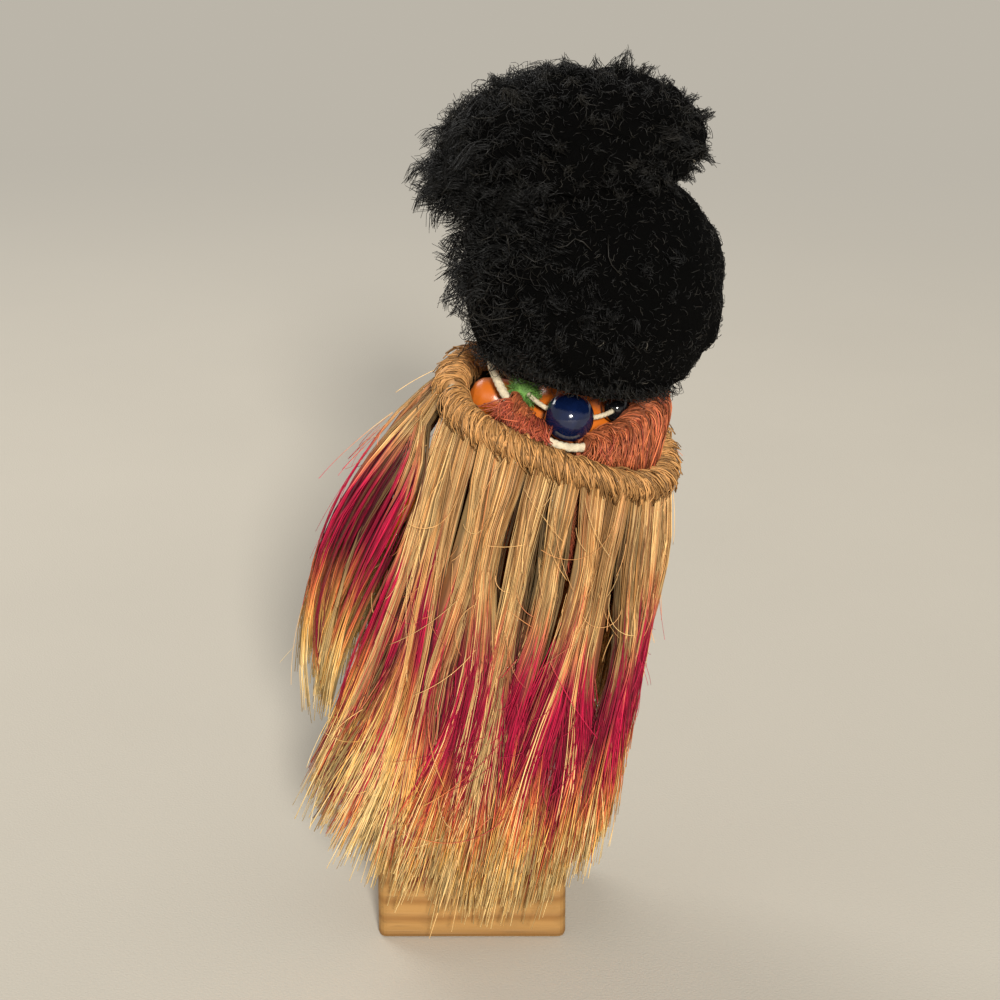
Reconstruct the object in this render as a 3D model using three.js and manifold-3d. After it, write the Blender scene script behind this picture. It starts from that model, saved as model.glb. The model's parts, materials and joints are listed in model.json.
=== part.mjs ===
// A jointed hard plastic doll with a frizzy wig and a fringed fibre cape, nailed to a pine block.
// Millimetres, +Z up. The origin is the middle of the block's underside, and the doll faces -Y.
// The doll is shaped upright, with heights measured from the top of the block, and then leans over.
import * as THREE from "three";
import { mergeVertices } from "three/addons/utils/BufferGeometryUtils.js";
import Module from "manifold-3d";

const wasm = await Module();
wasm.setup();

// Fits
const seatGap = 0.3; // between pieces that rest on each other
const runGap = 0.35; // round pieces that turn inside others
const hankGap = 0.25; // half the gap between neighbouring hanks

// Block and nails
const blockSide = 38;
const blockHeight = 17;
const blockEdge = 1.8; // easing of the sanded edges
const nailRadius = 1;
const nailHeadRadius = 2.2;
const nailHeadThickness = 1;
const nailGrip = 7; // length of each nail inside its foot
const lean = 11.8; // degrees towards the doll's right

// Body
const crotchHeight = 45;
const hipHeight = 53;
const waistHeight = 66;
const shoulderHeight = 90.5; // arm pivots
const chestDrop = 11.5; // widest part of the chest below the arm pivots
const slopeRise = 2.5; // from the arm pivots up to where the shoulders turn to the neck
const neckRise = 4.7; // from the arm pivots up to the foot of the neck
const neckLength = 2.5;
const hipWidth = 24;
const hipDepth = 19;
const waistWidth = 19.5;
const waistDepth = 16.5;
const shoulderWidth = 21; // across the flat arm seats, chest included
const chestDepth = 17;
const slopeWidth = 17;
const slopeDepth = 12.5;
const neckRadius = 5.5;
const bodyWall = 1.5;
const seamGap = 0.3;

// Legs
const legSpacing = 12.4;
const thighRadius = 5.7;
const kneeHeight = 26;
const kneeRadius = 4.5;
const ankleHeight = 8;
const ankleRadius = 3.4;
const footLength = 17;
const footWidth = 7.6;
const footHeight = 5;
const heelDepth = 5; // heel behind the leg's middle line
const soleDrop = 5; // feet start this far below the block's top, and are trimmed by it

// Arms
const capRadius = 4.3; // round shoulder end of each arm
const capThickness = 8.6;
const capEdge = 0.5; // easing of its inner rim
const upperArmRadius = 3.4;
const forearmRadius = 2.9;
const wristRadius = 2.1;
const handWidth = 6.4;
const handThickness = 3.4;
const thumbRadius = 1;
const armDrop = 36; // pivot to fingertips
const leftSpread = 16; // the left hand stands out from the shoulder, the right one hangs
const rightSpread = 1.8;
const stemRadius = 1.7;
const eyeletRadius = 1.9;
const eyeletWire = 0.6;
const elasticRadius = 0.5;

// Head and neck
const headRadius = 20.5;
const headDepthRatio = 0.95;
const headWall = 1.6;
const spoolRadius = 2.4;
const spoolFlange = 3.5; // inside the body
const spoolHeadFlange = 3.9; // inside the head
const spoolFlangeThickness = 1.2;

// Sleep eyes
const eyeRadius = 4.3;
const eyeSpacing = 14.4;
const eyeRise = 1.2; // above the middle of the head
const lidThickness = 0.8;
const eyeOpeningWidth = 7.2;
const eyeOpeningHeight = 5;
const rockerRadius = 0.55;
const rockerArm = 9.5;
const weightRadius = 3;
const weightLength = 3.4;
const weightAngle = 28; // degrees that the weight hangs behind the eyes
const bracketWidth = 2.6;
const bracketHeight = 4.4;
const rockerFit = 0.2; // round the wire in its bores

// Wig
const capShell = 1.4;
const capFit = 0.05; // looseness of the cap over the flats of its faceted ball
const capEdgeForward = 2; // edge of the cap before the head's middle
const capEdgeDrop = 1.6; // and below it
const backHairThickness = 3.2;
const backHairSet = 1; // edge of the hair behind the cap's
const hairShift = 0.6; // hair sits towards the doll's left
const hairBack = 0.5; // and towards its back
const hairLump = 0.012; // height of its lumps as a share of its size
const knotLump = 0.035;
const knotWidth = 54;
const knotDepth = 43;
const knotHeight = 33;
const knotShift = 11; // the top knot leans towards the doll's left
const knotTilt = 18; // degrees that its left end droops
const knotRise = 26.5; // its middle above the middle of the head
const hairBottom = 2.5; // lowest hair above the top of the neck

// Necklace
const beadRadius = 2.7;
const largeBeadRadius = 4.8;
const stringRadius = 0.5;
const beadCount = 6;
const necklaceSlack = 2.4; // the beads hang clear of the neck
const necklaceSag = 2.6; // front and back of the necklace below its sides

// Cape: an outer fringe on its own cord over an inner coral one
const capeCordRadius = 0.95;
const capeRopeRadius = 2.5; // fibre wrapped round the cord
const capeSlack = 1; // the collar stands off the left shoulder, and lies on the right arm
const capeTilt = 0.165; // rise of the collar towards the doll's left
const capeRise = 10; // rise of the collar from back to front
const capeDrop = 5; // back of the collar below the arm pivots
const capeBackReach = 20.5;
const capeFrontReach = 18.5;
const capeSquareness = 2.4; // 2 is an oval, more fills its corners
const hankDepth = 4.2; // thickness of a hank
const backHem = 8; // the back hanks end this far below the top of the block
const leftHem = 4; // and this far above it at the doll's left
const rightHem = 18; // and at its right
const frontHem = 20;
const blockClearance = 2.2; // the back hanks hang clear of the block
const backBow = 28; // sideways reach of the back hanks part way down, at the doll's left
const backSwell = 1.5; // they bow out past their hem behind
const backFlare = 34; // sideways reach of the hems at the doll's left
const leftFlare = 35;
const handCover = 20; // the left hanks stand out over the raised left hand
const leftFrontBow = 11; // hanks in front bow out past the collar
const rightFrontBow = 8;
const rightBow = 4;
const rightHang = 1.5; // hems at the right stand off the collar
const frontHang = 4; // and so do those in front
const backCount = 12;
const locksEach = 2;
const leftCount = 6;
const rightCount = 5;
const innerCordRadius = 0.9;
const innerRopeRadius = 2.1;
const innerReach = 16.2;
const innerBackReach = 15.5;
const innerFrontReach = 15.2;
const innerBackDrop = 2.3; // inner cord below the arm pivots at the nape
const innerFrontDrop = 2.5; // and at the chest
const innerFall = 28.5; // inner hem below the arm pivots
const innerDepth = 3;
const innerBow = 0.5; // the inner fringe stands off its cord
const innerTuck = 3.2; // and draws in at the sides of its hem
const tieBulge = 0.9;

// Where the fibre goes round the doll, in degrees: its left is 0, its back 90, its right 180, its front 270
const backTurns = [16, 188];
const leftTurns = [-82, 4];
const rightTurns = [191, 261];
const tieTurns = [263, 276];
const hemLeftTurns = [16, 60]; // where the back hem drops from the left
const hemRightTurns = [105, 180]; // and climbs to the right
const innerFrontTurns = [232, 308];
const innerRightTurns = [104, 140];
const innerLeftTurns = [46, 60];
const leftWrapTurns = [62, 76];
const rightWrapTurns = [142, 230];

// Values that follow from the ones above
const leanAngle = THREE.MathUtils.degToRad(lean);
const chestHeight = shoulderHeight - chestDrop;
const slopeHeight = shoulderHeight + slopeRise;
const neckHeight = shoulderHeight + neckRise;
const neckTop = neckHeight + neckLength;
const headSeat = neckTop + seatGap;
const headMiddle = headSeat + Math.sqrt(headRadius ** 2 - neckRadius ** 2);
const armSeat = shoulderWidth / 2 + seatGap;
const armOuter = armSeat + capThickness;
const armLine = armSeat + upperArmRadius + seatGap; // middle of the hanging arm
const stringHeight = shoulderHeight + capRadius + stringRadius + 2 * seatGap; // over the shoulders
const lowestHair = neckTop + hairBottom;

const skin = new THREE.MeshStandardMaterial({ color: "#a9581c", roughness: 0.35 });
const hair = new THREE.MeshStandardMaterial({ color: "#0d0c0b", roughness: 0.95 });
const felt = new THREE.MeshStandardMaterial({ color: "#191715", roughness: 1 });
const pine = new THREE.MeshStandardMaterial({ color: "#c39a5c", roughness: 0.7 });
const steel = new THREE.MeshStandardMaterial({ color: "#8f8f8c", roughness: 0.4, metalness: 1 });
const lead = new THREE.MeshStandardMaterial({ color: "#5a5b5e", roughness: 0.7, metalness: 1 });
const rubber = new THREE.MeshStandardMaterial({ color: "#d8d2c2", roughness: 0.9 });
const eyeWhite = new THREE.MeshStandardMaterial({ color: "#efe9dc", roughness: 0.15 });
const cotton = new THREE.MeshStandardMaterial({ color: "#e2d3b8", roughness: 1 });
const tanFibre = new THREE.MeshStandardMaterial({ color: "#c39a58", roughness: 0.9 });
const coralFibre = new THREE.MeshStandardMaterial({ color: "#d3693f", roughness: 0.9 });
const beadColours = ["#22418c", "#121316", "#4d7a35"].map(
  (color) => new THREE.MeshStandardMaterial({ color, roughness: 0.12 }),
);

const root = new THREE.Group();
const doll = new THREE.Group();
doll.position.z = blockHeight;
doll.rotation.y = -leanAngle;
root.add(doll);
doll.updateMatrixWorld(true);
const toDoll = doll.matrixWorld.clone().invert();

// A closed geometry as a solid that can be joined and cut.
function solid(geometry) {
  const bare = geometry.clone();
  bare.deleteAttribute("normal");
  bare.deleteAttribute("uv");
  const merged = mergeVertices(bare, 1e-4);
  const vertProperties = new Float32Array(merged.attributes.position.array);
  const triVerts = new Uint32Array(merged.index.array);
  return new wasm.Manifold(new wasm.Mesh({ numProp: 3, vertProperties, triVerts }));
}

// Names a piece, gives it its material and puts it in its group.
function piece(group, name, shape, material) {
  let geometry = shape;
  if (!shape.isBufferGeometry) {
    const { vertProperties, triVerts } = shape.getMesh();
    geometry = new THREE.BufferGeometry();
    geometry.setAttribute("position", new THREE.BufferAttribute(vertProperties, 3));
    geometry.setIndex(new THREE.BufferAttribute(triVerts, 1));
    geometry.computeVertexNormals();
  }
  const mesh = new THREE.Mesh(geometry, material);
  mesh.name = name;
  group.add(mesh);
  return mesh;
}

const at = (x, y, z) => new THREE.Vector3(x, y, z);
const mix = THREE.MathUtils.lerp;
const turnOf = THREE.MathUtils.degToRad;
const join = (solids) => solids.reduce((whole, next) => whole.add(next));

// An oval ring of points round a middle, with its own two half-axes and corner squareness.
function ring(middle, across, through, halfWidth, halfDepth, sides, squareness = 2) {
  return Array.from({ length: sides }, (_, i) => {
    const turn = (2 * Math.PI * i) / sides;
    const c = Math.cos(turn);
    const s = Math.sin(turn);
    const size = (Math.abs(c) ** squareness + Math.abs(s) ** squareness) ** (-1 / squareness);
    const point = middle.clone().addScaledVector(across, halfWidth * size * c);
    return point.addScaledVector(through, halfDepth * size * s);
  });
}

// A closed skin over rings of points, with a flat end on the first and last ring.
function loft(rings) {
  const sides = rings[0].length;
  const points = rings.flat();
  const faces = [];
  for (let r = 0; r + 1 < rings.length; r++) {
    for (let i = 0; i < sides; i++) {
      const a = r * sides + i;
      const b = r * sides + ((i + 1) % sides);
      faces.push([a, b, a + sides], [b, b + sides, a + sides]);
    }
  }
  const last = (rings.length - 1) * sides;
  let low = 0;
  let high = sides - 1;
  while (high - low > 1) {
    const climb = (low + high) % 2 === (sides - 1) % 2;
    const [a, b, c] = climb ? [low, low + 1, high] : [low, high - 1, high];
    faces.push([a, c, b], [last + a, last + b, last + c]);
    if (b === low + 1) low = b;
    else high = b;
  }
  const volume = faces.reduce(
    (sum, [a, b, c]) => sum + points[a].dot(points[b].clone().cross(points[c])),
    0,
  );
  const geometry = new THREE.BufferGeometry().setFromPoints(points);
  geometry.setIndex((volume > 0 ? faces : faces.map(([a, b, c]) => [a, c, b])).flat());
  return geometry;
}

const X = at(1, 0, 0);
const Y = at(0, 1, 0);
const Z = at(0, 0, 1);

// A smooth upright form through stations of [height, half width, half depth], pared down by a wall.
function stack(stations, rings, sides, wall = 0, place = at(0, 0, 0)) {
  const points = stations.map(([height, w, d]) => at(w - wall, d - wall, height));
  const curve = new THREE.CatmullRomCurve3(points);
  return loft(
    Array.from({ length: rings + 1 }, (_, k) => {
      const { x, y, z } = curve.getPoint(k / rings);
      return ring(at(place.x, place.y, z), X, Y, x, y, sides, 2.3);
    }),
  );
}

// A round rod between two points.
function rod(from, to, radius, sides = 8) {
  const length = from.distanceTo(to);
  const geometry = new THREE.CylinderGeometry(radius, radius, length, sides);
  const turn = new THREE.Quaternion().setFromUnitVectors(Y, to.clone().sub(from).normalize());
  const middle = from.clone().lerp(to, 0.5);
  return geometry.applyMatrix4(new THREE.Matrix4().compose(middle, turn, at(1, 1, 1)));
}

// A turned piece on the Z axis, from a profile of [radius, height] points.
function turned(profile, sides) {
  const points = profile.map(([radius, height]) => new THREE.Vector2(radius, height));
  return new THREE.LatheGeometry(points, sides).rotateX(Math.PI / 2);
}

function box(low, high) {
  const size = high.clone().sub(low);
  const middle = low.clone().lerp(high, 0.5);
  return new THREE.BoxGeometry(size.x, size.y, size.z).translate(middle.x, middle.y, middle.z);
}

// The part of space on one side of a plane through a point, as a large block.
function halfSpace(point, normal) {
  const reach = 400;
  const block = new THREE.BoxGeometry(reach, reach, reach).translate(0, 0, reach / 2);
  const turn = new THREE.Quaternion().setFromUnitVectors(Z, normal.clone().normalize());
  return solid(block.applyMatrix4(new THREE.Matrix4().compose(point, turn, at(1, 1, 1))));
}

// Block with eased edges, drilled and counterbored from below for the nails
function nailPlaces() {
  return [1, -1].map((side) => {
    const foot = at((side * legSpacing) / 2, 0, 0).applyMatrix4(doll.matrixWorld);
    return at(foot.x, foot.y, 0);
  });
}

function block() {
  const half = blockSide / 2;
  const square = new THREE.Shape();
  square.absarc(half - blockEdge, half - blockEdge, blockEdge, 0, Math.PI / 2);
  square.absarc(blockEdge - half, half - blockEdge, blockEdge, Math.PI / 2, Math.PI);
  square.absarc(blockEdge - half, blockEdge - half, blockEdge, Math.PI, 1.5 * Math.PI);
  square.absarc(half - blockEdge, blockEdge - half, blockEdge, 1.5 * Math.PI, 2 * Math.PI);
  const eased = new THREE.ExtrudeGeometry(square, {
    depth: blockHeight - blockEdge,
    bevelThickness: blockEdge / 2,
    bevelSize: blockEdge / 2,
    bevelOffset: -blockEdge / 2,
    bevelSegments: 2,
    curveSegments: 2,
  }).translate(0, 0, blockEdge / 2);
  const holes = nailPlaces().map((place) => {
    const over = nailHeadThickness;
    const from = at(place.x, place.y, -over);
    const through = at(place.x, place.y, blockHeight + over);
    const headTop = at(place.x, place.y, nailHeadThickness + 2 * seatGap);
    const shank = rod(from, through, nailRadius + seatGap);
    const head = rod(from, headTop, nailHeadRadius + seatGap, 12);
    return solid(shank).add(solid(head));
  });
  return solid(eased).subtract(join(holes));
}

function nail() {
  const top = blockHeight + seatGap + nailGrip;
  const point = 2 * nailRadius;
  const profile = [
    [0, seatGap],
    [nailHeadRadius, seatGap],
    [nailHeadRadius, seatGap + nailHeadThickness],
    [nailRadius, seatGap + nailHeadThickness],
    [nailRadius, top - point],
    [0, top],
  ];
  return turned(profile, 8);
}

piece(root, "base_block", block(), pine);
nailPlaces().forEach((place, i) => {
  const name = ["left_foot_nail", "right_foot_nail"][i];
  piece(root, name, nail(), steel).position.copy(place);
});

// Body: two moulded shells with fixed legs, split along the sides
function torsoStations(wall) {
  const end = wall > 0 ? wall : 0;
  return [
    [crotchHeight * 0.98 + end, hipWidth / 4, hipDepth / 4],
    [(crotchHeight + hipHeight) / 2, hipWidth * 0.45, hipDepth * 0.44],
    [hipHeight, hipWidth / 2, hipDepth / 2],
    [waistHeight, waistWidth / 2, waistDepth / 2],
    [chestHeight, shoulderWidth / 2 - seatGap, chestDepth / 2],
    [shoulderHeight, shoulderWidth / 2, chestDepth * 0.465],
    [slopeHeight, slopeWidth / 2, slopeDepth / 2],
    [neckHeight, neckRadius, neckRadius],
    [neckTop - end, neckRadius, neckRadius],
  ];
}

function foot(x) {
  const stations = [
    [heelDepth, 0.45, 0.75],
    [heelDepth * 0.7, 0.8, 1],
    [0, 0.86, 1],
    [-footLength * 0.4, 1, 0.8],
    [-footLength * 0.6, 0.9, 0.6],
    [heelDepth - footLength, 0.4, 0.35],
  ];
  const rings = stations.map(([y, wide, tall]) => {
    const top = footHeight * tall;
    const middle = at(x, y, (top - soleDrop) / 2);
    return ring(middle, X, Z, (footWidth / 2) * wide, (top + soleDrop) / 2, 8, 3);
  });
  return solid(loft(rings));
}

function leg(x, wall) {
  const bottom = wall > 0 ? ankleHeight + wall : -soleDrop;
  const stations = [
    [bottom, ankleRadius, ankleRadius * 1.12],
    [ankleHeight + 2 * wall, ankleRadius, ankleRadius * 1.09],
    [mix(ankleHeight, kneeHeight, 0.61), kneeRadius, kneeRadius * 1.11],
    [kneeHeight, kneeRadius, kneeRadius * 1.05],
    [crotchHeight * 0.91, thighRadius, thighRadius * 1.14],
    [hipHeight * 0.96, thighRadius * 0.93, thighRadius * 1.17],
  ];
  return solid(stack(stations, wall > 0 ? 5 : 8, wall > 0 ? 6 : 8, wall, at(x, 0, 0)));
}

function body() {
  const legs = [legSpacing / 2, -legSpacing / 2];
  const outside = join([
    solid(stack(torsoStations(0), 16, 16)),
    ...legs.map((x) => leg(x, 0)),
    ...legs.map((x) => foot(x)),
  ]);
  const inside = join([
    solid(stack(torsoStations(bodyWall), 10, 10, bodyWall)),
    ...legs.map((x) => leg(x, bodyWall)),
  ]);
  const farLeft = at(shoulderWidth, 0, shoulderHeight);
  const farRight = at(-shoulderWidth, 0, shoulderHeight);
  const armHole = rod(farRight, farLeft, stemRadius + runGap);
  const neckFoot = at(0, 0, neckTop - 2 * bodyWall);
  const neckHole = rod(neckFoot, at(0, 0, neckTop + bodyWall), spoolRadius + runGap);
  const nailHoles = nailPlaces().map((place) => {
    const top = blockHeight + 2 * seatGap + nailGrip;
    const hole = rod(place, at(place.x, place.y, top), nailRadius + seatGap);
    return solid(hole.applyMatrix4(toDoll));
  });
  const underFeet = at(blockSide, blockSide, blockHeight + seatGap);
  const ground = box(at(-blockSide, -blockSide, -blockSide), underFeet);
  return outside
    .subtract(inside)
    .subtract(solid(armHole))
    .subtract(solid(neckHole))
    .subtract(join(nailHoles))
    .subtract(solid(ground.applyMatrix4(toDoll)));
}

const wholeBody = body();
const frontHalf = halfSpace(at(0, -seamGap / 2, 0), at(0, -1, 0));
const backHalf = halfSpace(at(0, seamGap / 2, 0), Y);
piece(doll, "body_front", wholeBody.intersect(frontHalf), skin);
piece(doll, "body_back", wholeBody.intersect(backHalf), skin);

// Arms: a round shoulder end on a stem with an eyelet, and a tapering arm with a flat hand and a thumb
function arm(side, spread) {
  const tip = side * spread;
  const start = side * armLine;
  const path = new THREE.CatmullRomCurve3([
    at(start, 0, 0),
    at(start + tip * 0.42, 0.6, -armDrop * 0.38),
    at(start + tip * 0.78, -1, -armDrop * 0.7),
    at(start + tip * 0.92, -2, -armDrop * 0.84),
    at(start + tip, -2.8, -armDrop),
  ]);
  const elbow = 0.42; // shares of the arm's length
  const wrist = 0.7;
  const palm = 0.82;
  const rings = [0, 0.2, elbow, 0.56, wrist, 0.78, 0.88, 0.95, 1].map((t) => {
    const middle = path.getPoint(t);
    const along = path.getTangent(t);
    const out = Y.clone().cross(along).normalize();
    const through = along.clone().cross(out);
    const upper = mix(upperArmRadius, forearmRadius, Math.min(t / elbow, 1));
    const lower = mix(0, forearmRadius - wristRadius, Math.max((t - elbow) / (wrist - elbow), 0));
    const bare = Math.max(upper - lower, wristRadius);
    const open = THREE.MathUtils.smoothstep(t, wrist, palm);
    const close = 1 - 0.75 * THREE.MathUtils.smoothstep(t, 0.88, 1);
    const thick = mix(bare, handThickness / 2, open) * close;
    const wide = mix(bare, handWidth / 2, open) * close;
    return ring(middle, out, through, thick, wide, 8);
  });
  const thumbFrom = path.getPoint(0.76).add(at(0, -handWidth * 0.2, 0));
  const thumbTo = path.getPoint(0.86).add(at(0, -handWidth * 0.62, 0));
  const thumb = new THREE.CapsuleGeometry(thumbRadius, thumbFrom.distanceTo(thumbTo), 2, 6);
  const aim = new THREE.Quaternion().setFromUnitVectors(Y, thumbTo.clone().sub(thumbFrom).normalize());
  thumb.applyMatrix4(new THREE.Matrix4().compose(thumbFrom.lerp(thumbTo, 0.5), aim, at(1, 1, 1)));
  const dome = [
    [0, 0],
    [capRadius - capEdge, 0],
    [capRadius, capEdge],
    [capRadius, capThickness * 0.45],
    [capRadius * 0.86, capThickness * 0.75],
    [capRadius * 0.5, capThickness * 0.95],
    [0, capThickness],
  ];
  const cap = turned(dome, 12).rotateY((side * Math.PI) / 2);
  cap.translate(side * armSeat, 0, 0);
  const eyeletMiddle = armSeat - bodyWall - eyeletRadius - eyeletWire - 3 * seatGap;
  const stemEnd = eyeletMiddle + eyeletRadius;
  const stem = rod(at(side * (armSeat + capEdge), 0, 0), at(side * stemEnd, 0, 0), stemRadius);
  const eyelet = new THREE.TorusGeometry(eyeletRadius, eyeletWire, 5, 10).rotateX(Math.PI / 2);
  eyelet.translate(side * eyeletMiddle, 0, 0);
  return { shape: join([cap, loft(rings), thumb, stem, eyelet].map(solid)), eyeletMiddle };
}

const arms = { left_arm: arm(1, leftSpread), right_arm: arm(-1, rightSpread) };
Object.entries(arms).forEach(([name, made]) => {
  piece(doll, name, made.shape, skin).position.z = shoulderHeight;
});

// Elastic: one loop that runs through both eyelets
function elastic() {
  const end = arms.left_arm.eyeletMiddle;
  const apart = eyeletWire + elasticRadius + runGap;
  const loop = [at(-end, -apart, 0), at(0, -apart, 0), at(end, -apart, 0), at(end + apart / 2, 0, 0)];
  const back = loop.map(({ x, y }) => at(-x, -y, 0));
  const line = new THREE.CatmullRomCurve3([...loop, ...back], true);
  return new THREE.TubeGeometry(line, 20, elasticRadius, 4, true);
}
piece(doll, "arm_elastic", elastic(), rubber).position.z = shoulderHeight;

// Neck spool: a flanged pin that traps the body's neck wall and the head's
function spool() {
  const low = neckTop - bodyWall - seatGap;
  const high = headSeat + headWall + seatGap;
  const profile = [
    [0, low - spoolFlangeThickness],
    [spoolFlange, low - spoolFlangeThickness],
    [spoolFlange, low],
    [spoolRadius, low],
    [spoolRadius, high],
    [spoolHeadFlange, high],
    [spoolHeadFlange, high + spoolFlangeThickness],
    [0, high + spoolFlangeThickness],
  ];
  return turned(profile, 12);
}
piece(doll, "neck_spool", spool(), steel);

// Head: a ball drawn out into cheeks, chin, nose and brow
function swell(direction, place, size, height) {
  return height * Math.exp(-direction.distanceToSquared(place) / (2 * size * size));
}

function headForm() {
  const form = new THREE.SphereGeometry(headRadius, 28, 20);
  const position = form.attributes.position;
  for (let i = 0; i < position.count; i++) {
    const direction = new THREE.Vector3().fromBufferAttribute(position, i).normalize();
    const mirrored = at(Math.abs(direction.x), direction.y, direction.z);
    const out =
      swell(mirrored, at(0.5, -0.78, -0.36), 0.24, 1.1) +
      swell(direction, at(0, -0.86, -0.62), 0.17, 1.5) +
      swell(direction, at(0, -0.98, -0.16), 0.09, 2) +
      swell(direction, at(0, -0.92, -0.42), 0.12, 0.7) +
      swell(direction, at(0, -0.9, 0.42), 0.3, 0.5);
    const point = direction.multiplyScalar(headRadius + out);
    position.setXYZ(i, point.x, point.y * headDepthRatio, point.z);
  }
  return solid(form);
}

const eyeFace = headDepthRatio * Math.sqrt(headRadius ** 2 - (eyeSpacing / 2) ** 2 - eyeRise ** 2);
const eyeDepth = eyeFace - lidThickness - runGap - eyeRadius;
const eyePlaces = [at(eyeSpacing / 2, -eyeDepth, eyeRise), at(-eyeSpacing / 2, -eyeDepth, eyeRise)];

function eyeOpening(place) {
  const half = eyeOpeningWidth / 2;
  const almond = new THREE.Shape();
  almond.moveTo(-half, 0);
  almond.quadraticCurveTo(-half * 0.4, eyeOpeningHeight, half * 0.2, eyeOpeningHeight / 2);
  almond.quadraticCurveTo(half * 0.8, eyeOpeningHeight * 0.4, half, 0);
  almond.quadraticCurveTo(0, -eyeOpeningHeight, -half, 0);
  const cut = { depth: headRadius, bevelEnabled: false, curveSegments: 6 };
  const hole = new THREE.ExtrudeGeometry(almond, cut);
  hole.rotateX(Math.PI / 2);
  hole.translate(place.x, place.y, place.z);
  return solid(hole);
}

const innerHead = new THREE.SphereGeometry(headRadius - headWall, 16, 12);
innerHead.scale(1, headDepthRatio, 1);
const head = new THREE.Group();
head.position.z = headMiddle;
doll.add(head);

function headShell() {
  const pockets = eyePlaces.map(({ x, y, z }) => {
    const pocket = new THREE.SphereGeometry(eyeRadius + runGap, 14, 10).translate(x, y, z);
    return solid(pocket).add(eyeOpening(at(x, y, z)));
  });
  const seat = headSeat - headMiddle;
  const spoolHole = rod(at(0, 0, seat - headWall), at(0, 0, seat + 2 * headWall), spoolRadius + seatGap);
  const hollow = solid(innerHead).intersect(halfSpace(at(0, 0, seat + headWall), Z));
  return headForm()
    .intersect(halfSpace(at(0, 0, seat), Z))
    .subtract(hollow)
    .subtract(join(pockets))
    .subtract(solid(spoolHole));
}

const wholeHead = headShell();
piece(head, "head_front", wholeHead.intersect(frontHalf), skin);
piece(head, "head_back", wholeHead.intersect(backHalf), skin);

// Sleep eyes: two eyes threaded on a wire with a weighted yoke, swinging in a bracket behind the nose
function eye() {
  const ball = new THREE.SphereGeometry(eyeRadius, 14, 10).rotateX(-Math.PI / 2);
  const bore = rod(at(-2 * eyeRadius, 0, 0), at(2 * eyeRadius, 0, 0), rockerRadius + rockerFit, 8);
  return solid(ball).subtract(solid(bore));
}
eyePlaces.forEach((place, i) => {
  const name = ["left_eye", "right_eye"][i];
  piece(head, name, eye(), eyeWhite).position.copy(place);
});

const yokeX = bracketWidth / 2 + runGap + rockerRadius;
const weightPlace = at(0, 0, -rockerArm).applyAxisAngle(X, turnOf(weightAngle));

function rocker() {
  const reach = eyeSpacing / 2 + eyeRadius * 0.8;
  const axle = rod(at(-reach, 0, 0), at(reach, 0, 0), rockerRadius, 8);
  const bar = rod(at(-yokeX, 0, 0), at(yokeX, 0, 0), rockerRadius, 8);
  bar.translate(weightPlace.x, weightPlace.y, weightPlace.z);
  const yoke = [yokeX, -yokeX].map((x) => {
    const top = at(x, 0, 0);
    return rod(top, top.clone().add(weightPlace), rockerRadius, 8);
  });
  return join([axle, bar, ...yoke].map(solid));
}

function weight() {
  const half = Math.min(weightLength / 2, yokeX - rockerRadius - seatGap / 2);
  const drum = rod(at(-half, 0, 0), at(half, 0, 0), weightRadius, 14);
  const bore = rod(at(-2 * half, 0, 0), at(2 * half, 0, 0), rockerRadius + rockerFit, 8);
  return solid(drum).subtract(solid(bore));
}

function bracket() {
  const half = bracketWidth / 2;
  const thick = bracketHeight / 2;
  const low = at(-half, -headRadius, eyeRise - thick);
  const strap = box(low, at(half, thick - eyeDepth, eyeRise + thick));
  const shrink = (headRadius - headWall - seatGap) / (headRadius - headWall);
  const bearing = rod(at(-headRadius, 0, 0), at(headRadius, 0, 0), rockerRadius + rockerFit, 8);
  bearing.translate(0, -eyeDepth, eyeRise);
  return solid(strap)
    .intersect(solid(innerHead.clone().scale(shrink, shrink, shrink)))
    .subtract(solid(bearing));
}

piece(head, "eye_rocker", rocker(), steel).position.set(0, -eyeDepth, eyeRise);
piece(head, "eye_weight", weight(), lead).position.set(0, -eyeDepth, eyeRise).add(weightPlace);
piece(head, "eye_bracket", bracket(), steel);

// Wig: a felt cap on the head, lumpy hair over its back and sides, and a loose top knot
const wigSides = 20;

function lumpy(radii, place, lump, tilt, grow) {
  const form = new THREE.SphereGeometry(1, wigSides, Math.round(wigSides * 0.7));
  const position = form.attributes.position;
  for (let i = 0; i < position.count; i++) {
    const d = new THREE.Vector3().fromBufferAttribute(position, i);
    const sideways = Math.sin(5 * d.x + 2 * d.z) * Math.cos(4 * d.y - d.x);
    const upwards = Math.sin(6 * d.z + 3 * d.y) * Math.cos(3 * d.x);
    const point = d.clone().multiply(radii).multiplyScalar(1 + lump * (sideways + upwards));
    point.addScaledVector(d, grow);
    point.applyAxisAngle(Y, tilt).add(place);
    position.setXYZ(i, point.x, point.y, point.z);
  }
  return solid(form);
}

const capInside = headRadius + seatGap;
const capSagitta = capInside * (1 - Math.cos(Math.PI / wigSides)) + capFit;
const capOutside = capInside + capShell;
const ball = (radius) => solid(new THREE.SphereGeometry(radius, wigSides, Math.round(wigSides * 0.7)));
const hairline = halfSpace(at(0, -capEdgeForward, -capEdgeDrop), at(0, 0.8, 0.6));
const backHairline = halfSpace(at(0, backHairSet, -backHairSet), at(0, 0.9, 0.42));
const knotRadii = at(knotWidth / 2, knotDepth / 2, knotHeight / 2);
const knotPlace = at(knotShift, hairBack, knotRise);
const aboveCollar = halfSpace(at(0, 0, lowestHair - headMiddle), Z);

const wigCap = ball(capOutside)
  .subtract(ball(capInside + capSagitta))
  .intersect(hairline)
  .intersect(aboveCollar);
piece(head, "wig_cap", wigCap, felt);

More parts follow.
